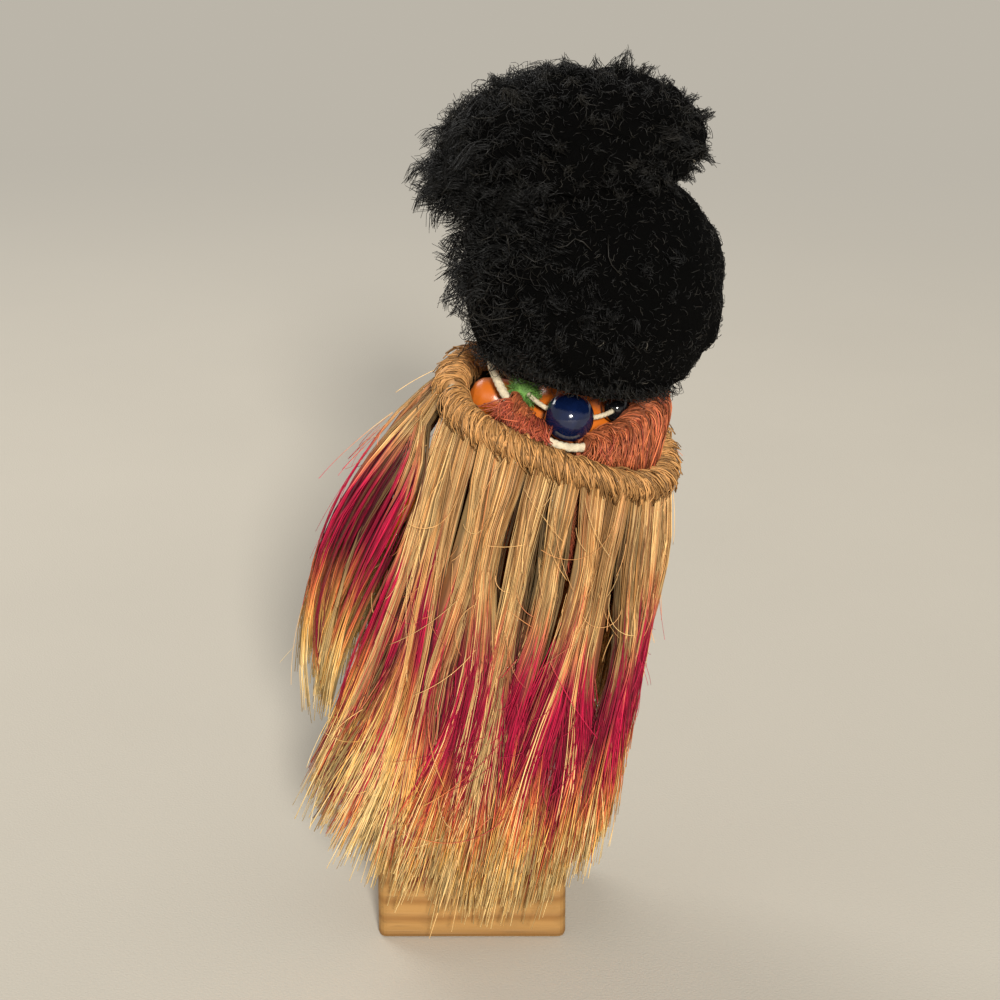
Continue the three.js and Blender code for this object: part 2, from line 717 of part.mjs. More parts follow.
const backHairRadius = capOutside + backHairThickness;
const backHairRadii = at(backHairRadius, backHairRadius, backHairRadius);
const backHair = lumpy(backHairRadii, at(hairShift, hairBack, -backHairSet), hairLump, 0, 0)
  .subtract(ball(capOutside + seatGap))
  .intersect(backHairline)
  .intersect(aboveCollar)
  .subtract(lumpy(knotRadii, knotPlace, knotLump, turnOf(knotTilt), 2 * seatGap));
piece(head, "back_hair", backHair, hair);

const topKnot = lumpy(knotRadii, knotPlace, knotLump, turnOf(knotTilt), 0).subtract(
  ball(capOutside + seatGap),
);
piece(head, "top_knot", topKnot, hair);

// Necklace: beads threaded on a string that lies on the shoulders
const necklaceReach = neckRadius + beadRadius + necklaceSlack;

class NecklaceLine extends THREE.Curve {
  getPoint(t, target = at(0, 0, 0)) {
    const turn = 2 * Math.PI * t + Math.PI / 2;
    const c = Math.cos(turn);
    const s = Math.sin(turn);
    const back = neckRadius + largeBeadRadius + necklaceSlack * 0.8;
    const deep = s > 0 ? back : necklaceReach;
    return target.set(necklaceReach * c, deep * s, stringHeight - necklaceSag * s * s);
  }
}
const necklaceLine = new NecklaceLine();
const beadString = new THREE.TubeGeometry(necklaceLine, 30, stringRadius, 4, true);
piece(doll, "necklace_string", beadString, cotton);

// A bead whose bore leaves room for the string's bend inside it
function bead(radius) {
  const steps = 6;
  const bore = stringRadius + seatGap + radius ** 2 / (2 * necklaceReach);
  const open = Math.asin(bore / radius);
  const profile = Array.from({ length: steps + 1 }, (_, i) => {
    const turn = mix(open, Math.PI - open, i / steps);
    return [radius * Math.sin(turn), -radius * Math.cos(turn)];
  });
  return turned([...profile, profile[0]], 10);
}

for (let i = 0; i < beadCount; i++) {
  const large = i === 0;
  const material = beadColours[i % beadColours.length];
  const mesh = piece(doll, `bead_${i + 1}`, bead(large ? largeBeadRadius : beadRadius), material);
  necklaceLine.getPointAt(i / beadCount, mesh.position);
  mesh.quaternion.setFromUnitVectors(Z, necklaceLine.getTangentAt(i / beadCount));
}

// Collars: the closed lines that the two cords follow round the shoulders.
// A turn is measured from the doll's left (0) through its back (90) to its right (180) and front (270).
function oval(turn, reach, squareness) {
  const c = Math.cos(turn);
  const s = Math.sin(turn);
  const across = c > 0 ? reach.left : reach.right;
  const along = s > 0 ? reach.back : reach.front;
  const sum = Math.abs(c / across) ** squareness + Math.abs(s / along) ** squareness;
  const radius = sum ** (-1 / squareness);
  return at(radius * c, radius * s, 0);
}

const collarSteps = 40;

class Collar extends THREE.Curve {
  constructor(reach, squareness, ropeRadius, heightAt) {
    super();
    Object.assign(this, { reach, squareness, ropeRadius, heightAt });
  }

  point(turn) {
    const place = oval(turn, this.reach, this.squareness);
    place.z = this.heightAt(turn, place);
    return place;
  }

  getPoint(t, target = at(0, 0, 0)) {
    return target.copy(this.point(2 * Math.PI * t));
  }

  cord(radius, steps) {
    return new THREE.TubeGeometry(this, steps, radius, 5, true);
  }
}

const capeCollar = new Collar(
  {
    left: armOuter + capeSlack + capeRopeRadius,
    right: armLine + upperArmRadius + 2 * seatGap + capeRopeRadius,
    back: capeBackReach,
    front: capeFrontReach,
  },
  capeSquareness,
  capeRopeRadius,
  (turn, place) => {
    const climb = capeRise * ((1 - Math.sin(turn)) / 2) ** 2;
    return shoulderHeight - capeDrop + capeTilt * place.x + climb;
  },
);

const innerSideHeight = shoulderHeight + capRadius + 2 * seatGap + innerRopeRadius;
const innerCollar = new Collar(
  { left: innerReach, right: innerReach, back: innerBackReach, front: innerFrontReach },
  2,
  innerRopeRadius,
  (turn) => {
    const ends = shoulderHeight - (innerBackDrop + innerFrontDrop) / 2;
    const slope = (innerFrontDrop - innerBackDrop) / 2;
    const level = mix(ends, innerSideHeight, Math.cos(turn) ** 2);
    return level + slope * Math.sin(turn);
  },
);

// Fibre wrapped round a cord between two turns, without the bore that the cord fills
function wrapping(collar, from, to, steps, bulge) {
  const rings = Array.from({ length: steps + 1 }, (_, k) => {
    const turn = mix(from, to, k / steps);
    const middle = collar.point(turn);
    const out = at(Math.cos(turn), Math.sin(turn), 0);
    const radius = collar.ropeRadius + bulge * Math.sin((Math.PI * k) / steps);
    return ring(middle, out, Z, radius, radius, 7);
  });
  return solid(loft(rings));
}

// Where fibre at a turn lies after a share of its fall: off the collar, out by the spread, in to the hem
function fall(fringe, turn, share) {
  const top = fringe.collar.point(turn);
  const hem = oval(turn, fringe.hem, 5).setZ(fringe.hemHeight(turn));
  const out = oval(turn, fringe.spread, 3).setZ(mix(top.z, hem.z, 0.45));
  const a = (1 - share) ** 2;
  const b = 2 * share * (1 - share);
  const c = share ** 2;
  return top.multiplyScalar(a).addScaledVector(out, b).addScaledVector(hem, c);
}

// A flattened bundle of fibre that falls from its wrapping and parts into pointed locks at the hem.
// Across the bundle, crests and hollows take turns, and the crests run on past the hollows as locks.
function bundle(fringe, from, to, locks, index) {
  const { collar } = fringe;
  const points = 2 * locks;
  const shares = [0, 0.16, 0.4, 0.65, 0.8, 1];
  const rings = shares.map((share, k) => {
    const hemRing = k === shares.length - 1;
    const faces = Array.from({ length: points + 1 }, (_, j) => {
      const turn = mix(from, to, j / points);
      const crest = j % 2 === 1;
      const ragged = 0.04 * Math.sin(2.3 * index + 1.7 * j);
      const reach = hemRing ? (crest ? 1 + ragged : 0.86 + ragged) : share;
      const middle = fall(fringe, turn, reach);
      const along = fall(fringe, turn, reach + 0.02).sub(middle);
      const out = fall(fringe, turn + 0.02, reach).sub(middle).cross(along).normalize();
      const edge = j === 0 || j === points;
      const fullness = (edge ? 0.35 : crest ? 1 : mix(0.9, 0.45, share)) * (hemRing ? 0.25 : 1);
      const half = (fringe.depth / 2) * fullness;
      return [middle.clone().addScaledVector(out, half), middle.addScaledVector(out, -half)];
    });
    return [...faces.map(([front]) => front), ...faces.map(([, back]) => back).reverse()];
  });
  return solid(loft(rings)).add(wrapping(collar, from, to, Math.ceil(locks / 3), 0));
}

const capeBore = solid(capeCollar.cord(capeCordRadius + seatGap, collarSteps));
const innerBore = solid(innerCollar.cord(innerCordRadius + seatGap, collarSteps));
const hemBack = blockSide / 2 + hankDepth / 2 + blockClearance;
const rightReach = capeCollar.reach.right;
const leftHand = armLine + leftSpread;

const hemFront = capeFrontReach + frontHang;
const hemRight = rightReach + rightHang;
const bowRight = rightReach + rightBow;

function backHemHeight(turn) {
  const drop = THREE.MathUtils.smoothstep(turn, ...hemLeftTurns.map(turnOf));
  const climb = THREE.MathUtils.smoothstep(turn, ...hemRightTurns.map(turnOf));
  return leftHem - (leftHem + backHem) * drop + (rightHem + backHem) * climb;
}

const backFringe = {
  collar: capeCollar,
  spread: { left: backBow, right: bowRight, back: hemBack + backSwell, front: hemFront },
  hem: { left: backFlare, right: hemRight, back: hemBack, front: hemFront },
  hemHeight: backHemHeight,
  depth: hankDepth,
};
const leftFringe = {
  collar: capeCollar,
  spread: {
    left: leftHand + handCover,
    right: rightReach,
    back: hemBack,
    front: capeFrontReach + leftFrontBow,
  },
  hem: { left: leftFlare, right: rightReach, back: hemBack, front: hemFront },
  hemHeight: () => frontHem,
  depth: hankDepth,
};
const rightFringe = {
  collar: capeCollar,
  spread: {
    left: leftFlare,
    right: bowRight,
    back: hemBack,
    front: capeFrontReach + rightFrontBow,
  },
  hem: { left: leftFlare, right: hemRight, back: hemBack, front: hemFront },
  hemHeight: () => frontHem,
  depth: hankDepth,
};

piece(doll, "cape_cord", capeCollar.cord(capeCordRadius, collarSteps), cotton);

function hanks(name, fringe, count, turns) {
  const [first, last] = turns.map(turnOf);
  const trim = hankGap / capeFrontReach;
  for (let i = 0; i < count; i++) {
    const from = mix(first, last, i / count) + trim;
    const to = mix(first, last, (i + 1) / count) - trim;
    const made = bundle(fringe, from, to, locksEach, i).subtract(capeBore);
    piece(doll, `${name}_${i + 1}`, made, tanFibre);
  }
}
hanks("back_hank", backFringe, backCount, backTurns);
hanks("left_hank", leftFringe, leftCount, leftTurns);
hanks("right_hank", rightFringe, rightCount, rightTurns);

const tie = wrapping(capeCollar, ...tieTurns.map(turnOf), 3, tieBulge).subtract(capeBore);
piece(doll, "cape_knot", tie, cotton);

// Inner fringe: wrapped over the right shoulder and at the nape, falling at the chest and back
piece(doll, "inner_cord", innerCollar.cord(innerCordRadius, collarSteps), cotton);

const innerFringe = {
  collar: innerCollar,
  spread: {
    left: innerReach,
    right: innerReach,
    back: innerBackReach + innerBow,
    front: innerFrontReach + 2 * innerBow,
  },
  hem: {
    left: innerReach - innerTuck,
    right: innerReach - innerTuck,
    back: innerBackReach - innerBow,
    front: innerFrontReach + innerBow,
  },
  hemHeight: () => shoulderHeight - innerFall,
  depth: innerDepth,
};

function coralPanel(name, turns, locks) {
  const made = bundle(innerFringe, ...turns.map(turnOf), locks, locks).subtract(innerBore);
  piece(doll, name, made, coralFibre);
}

function coralWrap(name, turns, steps) {
  const made = wrapping(innerCollar, ...turns.map(turnOf), steps, 0).subtract(innerBore);
  piece(doll, name, made, coralFibre);
}

coralPanel("inner_fringe_front", innerFrontTurns, 5);
coralPanel("inner_fringe_right", innerRightTurns, 3);
coralPanel("inner_fringe_left", innerLeftTurns, 2);
coralWrap("inner_wrap_left", leftWrapTurns, 2);
coralWrap("inner_wrap_right", rightWrapTurns, 5);

export default root;
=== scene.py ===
"""Looks of a jointed hard plastic doll with a frizzy wig and a dyed fibre cape, standing on a pine block."""

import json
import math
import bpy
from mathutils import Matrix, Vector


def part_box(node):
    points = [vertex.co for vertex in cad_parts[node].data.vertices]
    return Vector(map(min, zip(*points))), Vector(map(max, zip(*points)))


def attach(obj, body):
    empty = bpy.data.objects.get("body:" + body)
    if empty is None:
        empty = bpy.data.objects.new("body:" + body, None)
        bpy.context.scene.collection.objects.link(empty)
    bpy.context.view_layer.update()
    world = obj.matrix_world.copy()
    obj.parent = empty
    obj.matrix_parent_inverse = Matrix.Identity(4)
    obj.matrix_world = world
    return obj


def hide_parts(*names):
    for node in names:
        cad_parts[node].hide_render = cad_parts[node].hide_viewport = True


bl_info = {
    "name": "Fringed doll",
    "version": (1, 0, 0),
    "blender": (4, 5, 0),
    "location": "View3D > Sidebar > Doll",
    "description": "Dresses the doll's solids in plastic skin, hair, beads, cords and dyed fibre",
    "category": "Object",
}

from dataclasses import dataclass
from typing import NamedTuple

import bpy
import numpy as np

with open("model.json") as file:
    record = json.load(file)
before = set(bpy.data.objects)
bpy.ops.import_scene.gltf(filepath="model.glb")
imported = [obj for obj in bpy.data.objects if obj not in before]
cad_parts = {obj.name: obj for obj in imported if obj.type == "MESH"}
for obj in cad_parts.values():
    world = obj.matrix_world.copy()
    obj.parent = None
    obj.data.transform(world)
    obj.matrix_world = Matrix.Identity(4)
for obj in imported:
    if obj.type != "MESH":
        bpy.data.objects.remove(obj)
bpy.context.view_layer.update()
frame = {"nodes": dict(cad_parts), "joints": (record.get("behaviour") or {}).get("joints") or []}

# Places that the frame gives. Shapes are worked out in mm, on the upright doll, and then leant over.
MM = 0.001
UPRIGHT = np.array([0, 0, 1.0])
JOINTS = {joint["name"]: joint for joint in frame["joints"]}
UP = np.array(JOINTS["head_turn"]["axis"])
LEFT = np.array(JOINTS["left_arm_swing"]["axis"])
LEAN = math.atan2(-UP[0], UP[2])
BLOCK_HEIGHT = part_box("base_block")[1].z / MM
BLOCK_SIDE = (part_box("base_block")[1].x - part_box("base_block")[0].x) / MM


def height_of(joint):
    """Height of a joint above the block's top, along the leaning doll, in mm."""
    place = np.array(JOINTS[joint]["pos_m"]) / MM - [0, 0, BLOCK_HEIGHT]
    return float(place @ UP)


def deg(angle):
    return math.radians(angle)


# Sizes and places of the solids, in mm
SEAT_GAP = 0.3
SHOULDER_HEIGHT = height_of("left_arm_swing")
SHOULDER_WIDTH = 21.0
NECK_RADIUS = 5.5
NECK_TOP = height_of("head_turn") - SEAT_GAP
HEAD_RADIUS = 20.5
HEAD_DEPTH = 0.95
HEAD_WALL = 1.6
HEAD_SEAT = NECK_TOP + SEAT_GAP
HEAD_MIDDLE = HEAD_SEAT + math.sqrt(HEAD_RADIUS**2 - NECK_RADIUS**2)
EYE_RADIUS = 4.3
EYE_SPACING = 14.4
EYE_DEPTH = -JOINTS["eyes_close"]["pos_m"][1] / MM
EYE_HEIGHT = height_of("eyes_close")
OPENING_HALF_WIDTH, OPENING_ABOVE, OPENING_BELOW = 3.6, 2.75, 2.2
LEG_PLACE = 6.2
HEEL, TOES = 5.0, -12.0
FOOT_HALF_WIDTH, FOOT_HEIGHT, FOOT_BASE = 3.8, 5.0, -1.2
ARM_SEAT = SHOULDER_WIDTH / 2 + SEAT_GAP
ARM_CAP_RADIUS = 4.3
ARM_CAP_LENGTH = 8.6
ARM_RADIUS = 3.4
ARM_LINE = ARM_SEAT + ARM_RADIUS + SEAT_GAP
ARM_DROP = 36.0
ARM_SPREAD = {"left_arm": 16.0, "right_arm": 1.8}
ROPE_RADIUS = 2.5
CORD_RADIUS = 0.95
INNER_ROPE_RADIUS = 2.1
INNER_CORD_RADIUS = 0.9
HANK_DEPTH = 4.2
BEAD_RADIUS = 2.7
LARGE_BEAD_RADIUS = 4.8
STRING_RADIUS = 0.5
CAP_RADIUS = HEAD_RADIUS + SEAT_GAP + 1.4
HAIR_RADIUS = CAP_RADIUS + 3.2
HAIR_BOTTOM = NECK_TOP + 2.5


# Numbers and colours that a user would change

def colour_property(name, description, value):
    return bpy.props.FloatVectorProperty(
        name=name, description=description, subtype="COLOR_GAMMA", size=3, min=0, max=1, default=value
    )


def count_property(name, description, value):
    return bpy.props.IntProperty(name=name, description=description, default=value, min=1)


def length_property(name, description, value):
    return bpy.props.FloatProperty(
        name=name, description=description, default=value, min=0,
        subtype="DISTANCE", unit="LENGTH", precision=5,
    )


class DollColours(bpy.types.PropertyGroup):
    skin: colour_property("Skin", "Orange-brown plastic", (0.80, 0.41, 0.11))
    lips: colour_property("Lips", "Paint of the lips", (0.62, 0.13, 0.11))
    iris: colour_property("Iris", "Ring round the pupil", (0.30, 0.16, 0.07))
    hair: colour_property("Hair", "Wig, cap and painted brows", (0.022, 0.021, 0.019))
    tan: colour_property("Tan", "Undyed fibre near the rope", (0.86, 0.64, 0.39))
    magenta: colour_property("Magenta", "Middle band of the dyed fibre", (0.77, 0.10, 0.27))
    orange: colour_property("Orange", "Where the dye bleeds towards the hem", (0.86, 0.46, 0.27))
    straw: colour_property("Straw", "Bleached ends of the fibre", (0.99, 0.86, 0.60))
    coral: colour_property("Coral", "Fibre of the inner fringe", (0.75, 0.42, 0.26))
    cotton: colour_property("Cotton", "Twisted cords", (0.88, 0.82, 0.70))
    pine: colour_property("Pine", "Block", (0.63, 0.47, 0.26))
    blue: colour_property("Blue bead", "Large bead at the nape", (0.04, 0.09, 0.22))
    green: colour_property("Green bead", "Flocked beads", (0.40, 0.58, 0.26))
    floor: colour_property("Floor", "Ground that the block stands on", (0.785, 0.76, 0.71))


class DollFibre(bpy.types.PropertyGroup):
    back_strands: count_property("Back strands", "Strands in each back hank", 608)
    side_strands: count_property("Side strands", "Strands in each side hank", 440)
    inner_strands: count_property("Inner strands", "Strands in each lock of the inner fringe", 104)
    wraps: count_property("Wraps", "Strands wound round the cord in each hank", 120)
    flyaways: count_property("Flyaways", "Stray strands of each hank", 15)
    strand: length_property("Strand", "Radius of a fibre strand", 0.00011)
    hair_strand: length_property("Hair strand", "Radius of a hair", 0.000055)
    fuzz: count_property("Fuzz", "Short hairs on each mass of hair", 2800)
    tufts: count_property("Tufts", "Pointed tufts on the top knot", 130)


class DollStage(bpy.types.PropertyGroup):
    distance: length_property("Distance", "Camera to the doll", 0.52)
    elevation: bpy.props.FloatProperty(
        name="Elevation", description="Camera above the horizon", subtype="ANGLE", default=deg(18)
    )
    lens: bpy.props.FloatProperty(
        name="Lens", description="Focal length", subtype="DISTANCE_CAMERA", unit="CAMERA", default=93.6
    )
    aim: bpy.props.FloatVectorProperty(
        name="Aim", description="Point at the middle of the picture", subtype="XYZ", unit="LENGTH",
        default=(-0.0057, 0.0, 0.08752),
    )
    key: bpy.props.FloatProperty(
        name="Key", description="Main lamp", subtype="POWER", unit="POWER", default=306
    )
    world: bpy.props.FloatProperty(name="World", description="Strength of the light all round", default=0.40)


# Surfaces as arrays

class Surface(NamedTuple):
    """Points, faces, the corners' places on the bake's map, and each point's tint and dye."""

    points: np.ndarray
    quads: np.ndarray
    triangles: np.ndarray
    quad_map: np.ndarray
    triangle_map: np.ndarray
    tint: np.ndarray
    dye: np.ndarray


def unit(vectors):
    return vectors / np.maximum(np.linalg.norm(vectors, axis=-1, keepdims=True), 1e-12)


def smooth(value, low, high):
    """Cubic step from 0 at low to 1 at high."""
    t = np.clip((value - low) / (high - low), 0, 1)
    return t * t * (3 - 2 * t)


def mix(a, b, share):
    return a + (b - a) * share


def stand(points):
    """Points of the upright doll, in mm, turned about Y by the lean and lifted onto the block, in metres."""
    x, y, z = np.moveaxis(np.asarray(points, float), -1, 0)
    across = math.cos(LEAN) * x - math.sin(LEAN) * z
    height = BLOCK_HEIGHT + math.cos(LEAN) * z + math.sin(LEAN) * x
    return np.stack([across, y, height], -1) * MM


def around(count):
    """Angles evenly spaced round a circle."""
    return np.linspace(0, 2 * np.pi, count, endpoint=False)


def outward(turn):
    """Level unit vectors at a turn: its cosine, its sine and no height."""
    return np.stack([np.cos(turn), np.sin(turn), 0 * turn], -1)


def ball_directions(rows, cols):
    """Unit directions over a ball: the polar angle's sine times level ones, plus its cosine upright."""
    polar = np.linspace(0.01, np.pi - 0.01, rows)[:, None, None]
    return np.sin(polar) * outward(around(cols)[None]) + np.cos(polar) * UPRIGHT


def section(angle, size, side, top):
    """A round section: its size times an angle's cosine to one side, plus its size times the sine upwards."""
    return (size * np.cos(angle))[..., None] * side + (size * np.sin(angle))[..., None] * top


def bezier(start, middle, end, t):
    """Quadratic Bezier curve from start to end, drawn towards a middle point."""
    return (1 - t) ** 2 * start + 2 * t * (1 - t) * middle + t**2 * end


def per_point(value, shape):
    return np.broadcast_to(np.asarray(value, float), shape).ravel()


def cell_map(r, c, rows, cols):
    """Places on the bake's map of the four corners of a grid's cells."""
    across = np.stack([c, c + 1, c + 1, c], -1) / cols
    down = np.stack([r, r, r + 1, r + 1], -1) / rows
    return np.stack([across, down], -1)


def cells(rows, cols, close_rows):
    """Quads of a grid of points that closes round its columns, and their places on the bake's map."""
    r, c = np.meshgrid(np.arange(rows if close_rows else rows - 1), np.arange(cols), indexing="ij")
    below, after = (r + 1) % rows, (c + 1) % cols
    corners = [r * cols + c, r * cols + after, below * cols + after, below * cols + c]
    return np.stack(corners, -1).reshape(-1, 4), cell_map(r, c, rows, cols).reshape(-1, 4, 2)


def skin_over(points, tint=1.0, dye=0.0):
    """Quads over a grid of points, closed round its columns, with a fan of triangles on each end row."""
    rows, cols = points.shape[:2]
    quads, quad_map = cells(rows, cols, False)
    ring = np.arange(cols)
    following = (ring + 1) % cols
    last = (rows - 1) * cols
    start = np.stack([np.full(cols, rows * cols), following, ring], -1)
    end = np.stack([np.full(cols, rows * cols + 1), last + ring, last + following], -1)
    across = np.stack([ring + 0.5, ring + 1, ring], -1) / cols
    rim = np.stack([across, np.full((cols, 3), 1 - 0.5 / rows)], -1)
    tints = per_point(tint, (rows, cols))
    dyes = per_point(dye, (rows, cols))
    return outwards(Surface(
        np.concatenate([points.reshape(-1, 3), points[0].mean(0)[None], points[-1].mean(0)[None]]),
        quads,
        np.concatenate([start, end]),
        quad_map,
        np.concatenate([rim, rim]),
        np.concatenate([tints, tints[:1], tints[-1:]]),
        np.concatenate([dyes, dyes[:1], dyes[-1:]]),
    ))


def closed_loop(points):
    """Quads over a grid that closes on itself both ways, like a ring doughnut."""
    quads, quad_map = cells(*points.shape[:2], True)
    flat = points.reshape(-1, 3)
    plain = np.ones(len(flat))
    no_triangles, no_map = np.zeros((0, 3), int), np.zeros((0, 3, 2))
    return outwards(Surface(flat, quads, no_triangles, quad_map, no_map, plain, 0 * plain))


def outwards(surface):
    """The same closed surface with its faces turned round if the volume inside comes out negative."""
    corners = surface.points[surface.quads]
    volume = np.einsum("ij,ij->i", corners[:, 0], np.cross(corners[:, 1], corners[:, 2])).sum()
    volume += np.einsum("ij,ij->i", corners[:, 0], np.cross(corners[:, 2], corners[:, 3])).sum()
    fan = surface.points[surface.triangles]
    volume += np.einsum("ij,ij->i", fan[:, 0], np.cross(fan[:, 1], fan[:, 2])).sum()
    if volume > 0:
        return surface
    return surface._replace(
        quads=surface.quads[:, ::-1],
        triangles=surface.triangles[:, ::-1],
        quad_map=surface.quad_map[:, ::-1],
        triangle_map=surface.triangle_map[:, ::-1],
    )


def strands(paths, radius, tint, dye, rng):
    """Thin tubes along many paths at once: a triangle carried along each, with its two ends closed."""
    count, steps = paths.shape[:2]
    along = unit(np.gradient(paths, axis=1))
    side = unit(np.cross(along, rng.normal(size=(count, 1, 3))))
    other = np.cross(along, side)
    angle = around(3)
    round_it = np.cos(angle)[:, None] * side[:, :, None] + np.sin(angle)[:, None] * other[:, :, None]
    thickness = np.broadcast_to(radius, (count, steps))[:, :, None, None]
    points = paths[:, :, None] + thickness * round_it
    n, k, j = np.meshgrid(np.arange(count), np.arange(steps - 1), np.arange(3), indexing="ij")
    here = (n * steps + k) * 3
    after = (j + 1) % 3
    quads = np.stack([here + j, here + after, here + 3 + after, here + 3 + j], -1).reshape(-1, 4)
    first = np.arange(count) * steps * 3
    last = first + (steps - 1) * 3
    start = np.stack([first, first + 2, first + 1], -1)
    end = np.stack([last, last + 1, last + 2], -1)
    bands = 4  # rows of strips on the bake's map
    columns = math.ceil(count / bands)
    place = cell_map(k, j, steps - 1, 3)
    strip = np.stack([n % columns / columns, n // columns / bands], -1)[..., None, :]
    quad_map = strip + (0.06 + 0.88 * place) / [columns, bands]
    tip = np.stack([np.arange(count) % columns / columns, np.arange(count) // columns / bands], -1)[:, None]
    corner = np.array([[0.1, 0.02], [0.9, 0.02], [0.5, 0.05]]) / [columns, bands]
    triangle_map = np.concatenate([tip + corner, tip + corner])
    return Surface(
        points.reshape(-1, 3),
        quads,
        np.concatenate([start, end]),
        quad_map.reshape(-1, 4, 2),
        triangle_map,
        per_point(np.broadcast_to(tint, (count, steps))[..., None], (count, steps, 3)),
        per_point(np.broadcast_to(dye, (count, steps))[..., None], (count, steps, 3)),
    )


def together(surfaces):
    """Several surfaces as one, each with a band of the bake's map as high as its share of the faces."""
    sizes = np.array([len(s.quads) + len(s.triangles) for s in surfaces], float)
    tops = np.concatenate([[0], np.cumsum(sizes / sizes.sum())])
    starts = np.concatenate([[0], np.cumsum([len(s.points) for s in surfaces])]).astype(int)

    def banded(places, i):
        return places * [1, tops[i + 1] - tops[i]] + [0, tops[i]]

    return Surface(
        np.concatenate([s.points for s in surfaces]),
        np.concatenate([s.quads + starts[i] for i, s in enumerate(surfaces)]),
        np.concatenate([s.triangles + starts[i] for i, s in enumerate(surfaces)]),
        np.concatenate([banded(s.quad_map, i) for i, s in enumerate(surfaces)]),
        np.concatenate([banded(s.triangle_map, i) for i, s in enumerate(surfaces)]),
        np.concatenate([s.tint for s in surfaces]),
        np.concatenate([s.dye for s in surfaces]),
    )


def mesh_of(name, surface, place=stand):
    """A Blender mesh of a surface in its place, with its map, and its tint and dye as point attributes."""
    mesh = bpy.data.meshes.new(name)
    corners = np.concatenate([surface.quads.ravel(), surface.triangles.ravel()])
    quads, triangles = len(surface.quads), len(surface.triangles)
    starts = np.concatenate([np.arange(quads) * 4, quads * 4 + np.arange(triangles) * 3])
    mesh.vertices.add(len(surface.points))
    mesh.vertices.foreach_set("co", place(surface.points).astype(np.float32).ravel())
    mesh.loops.add(len(corners))
    mesh.loops.foreach_set("vertex_index", corners.astype(np.int32))
    mesh.polygons.add(quads + triangles)
    mesh.polygons.foreach_set("loop_start", starts.astype(np.int32))
    mesh.polygons.foreach_set("use_smooth", np.ones(quads + triangles, bool))
    mesh.update(calc_edges=True)
    places = np.concatenate([surface.quad_map.reshape(-1, 2), surface.triangle_map.reshape(-1, 2)])
    mesh.uv_layers.new(name="OFBake").data.foreach_set("uv", places.astype(np.float32).ravel())
    for label, values in (("tint", surface.tint), ("dye", surface.dye)):
        mesh.attributes.new(label, "FLOAT", "POINT").data.foreach_set("value", values.astype(np.float32))
    return mesh


def add_object(name, mesh):
    made = bpy.data.objects.new(name, mesh)
    bpy.context.scene.collection.objects.link(made)
    return made


def dress(made, material, body, nodes, slot):
    """Gives a piece its material and the body it moves with, and hides the solids it stands for. Its slot is
    not used.
    """
    made.data.materials.clear()
    made.data.materials.append(material)
    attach(made, body)
    if nodes:
        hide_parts(*nodes)
    return made


def piece(name, surface, material, body, slot, node=None, place=stand):
    """A piece made of one surface, which stands for a solid where one is named."""
    made = add_object(name, mesh_of(node or name, surface, place))
    return dress(made, material, body, [node] if node else [], slot)


def applied(made):
    """The object with its modifiers' result as its own mesh."""
    bpy.context.view_layer.update()
    result = bpy.data.meshes.new_from_object(made.evaluated_get(bpy.context.evaluated_depsgraph_get()))
    made.modifiers.clear()
    made.data = result
    return made


def fused(name, surfaces, voxel, passes):
    """Closed forms melted into one smooth skin: a voxel remesh followed by a few smoothing passes."""
    made = add_object(name, mesh_of(name, together(surfaces)))
    melt = made.modifiers.new("melt", "REMESH")
    melt.mode = "VOXEL"
    melt.voxel_size = voxel * MM
    soften = made.modifiers.new("soften", "SMOOTH")
    soften.factor = 0.5
    soften.iterations = passes
    applied(made)
    made.data.polygons.foreach_set("use_smooth", np.ones(len(made.data.polygons), bool))
    return made


# Shader maths

class Field:
    """A number that changes over a surface. Arithmetic on it adds Math nodes to its material."""

    def __init__(self, paint, socket):
        self.paint = paint
        self.socket = socket

    def math(self, operation, *values):
        return self.paint.node("ShaderNodeMath", {"operation": operation}, dict(enumerate(values)))

    def __add__(self, other):
        return self.math("ADD", self, other)

    def __sub__(self, other):
        return self.math("SUBTRACT", self, other)

    def __rsub__(self, other):
        return self.math("SUBTRACT", other, self)

    def __mul__(self, other):
        return self.math("MULTIPLY", self, other)

    def __pow__(self, other):
        return self.math("POWER", self, other)

    __radd__ = __add__
    __rmul__ = __mul__

    def size(self):
        return self.math("ABSOLUTE", self)

    def above(self, other):
        return self.math("MAXIMUM", self, other)

    def sine(self):
        return self.math("SINE", self)

    def step(self, low, high):
        """Smooth step from 0 at low to 1 at high, which may be the smaller number."""
        flip = low > high
        values = {"Value": self, "From Min": min(low, high), "From Max": max(low, high)}
        values |= {"To Min": float(flip), "To Max": float(not flip)}
        return self.paint.node("ShaderNodeMapRange", {"interpolation_type": "SMOOTHSTEP"}, values)


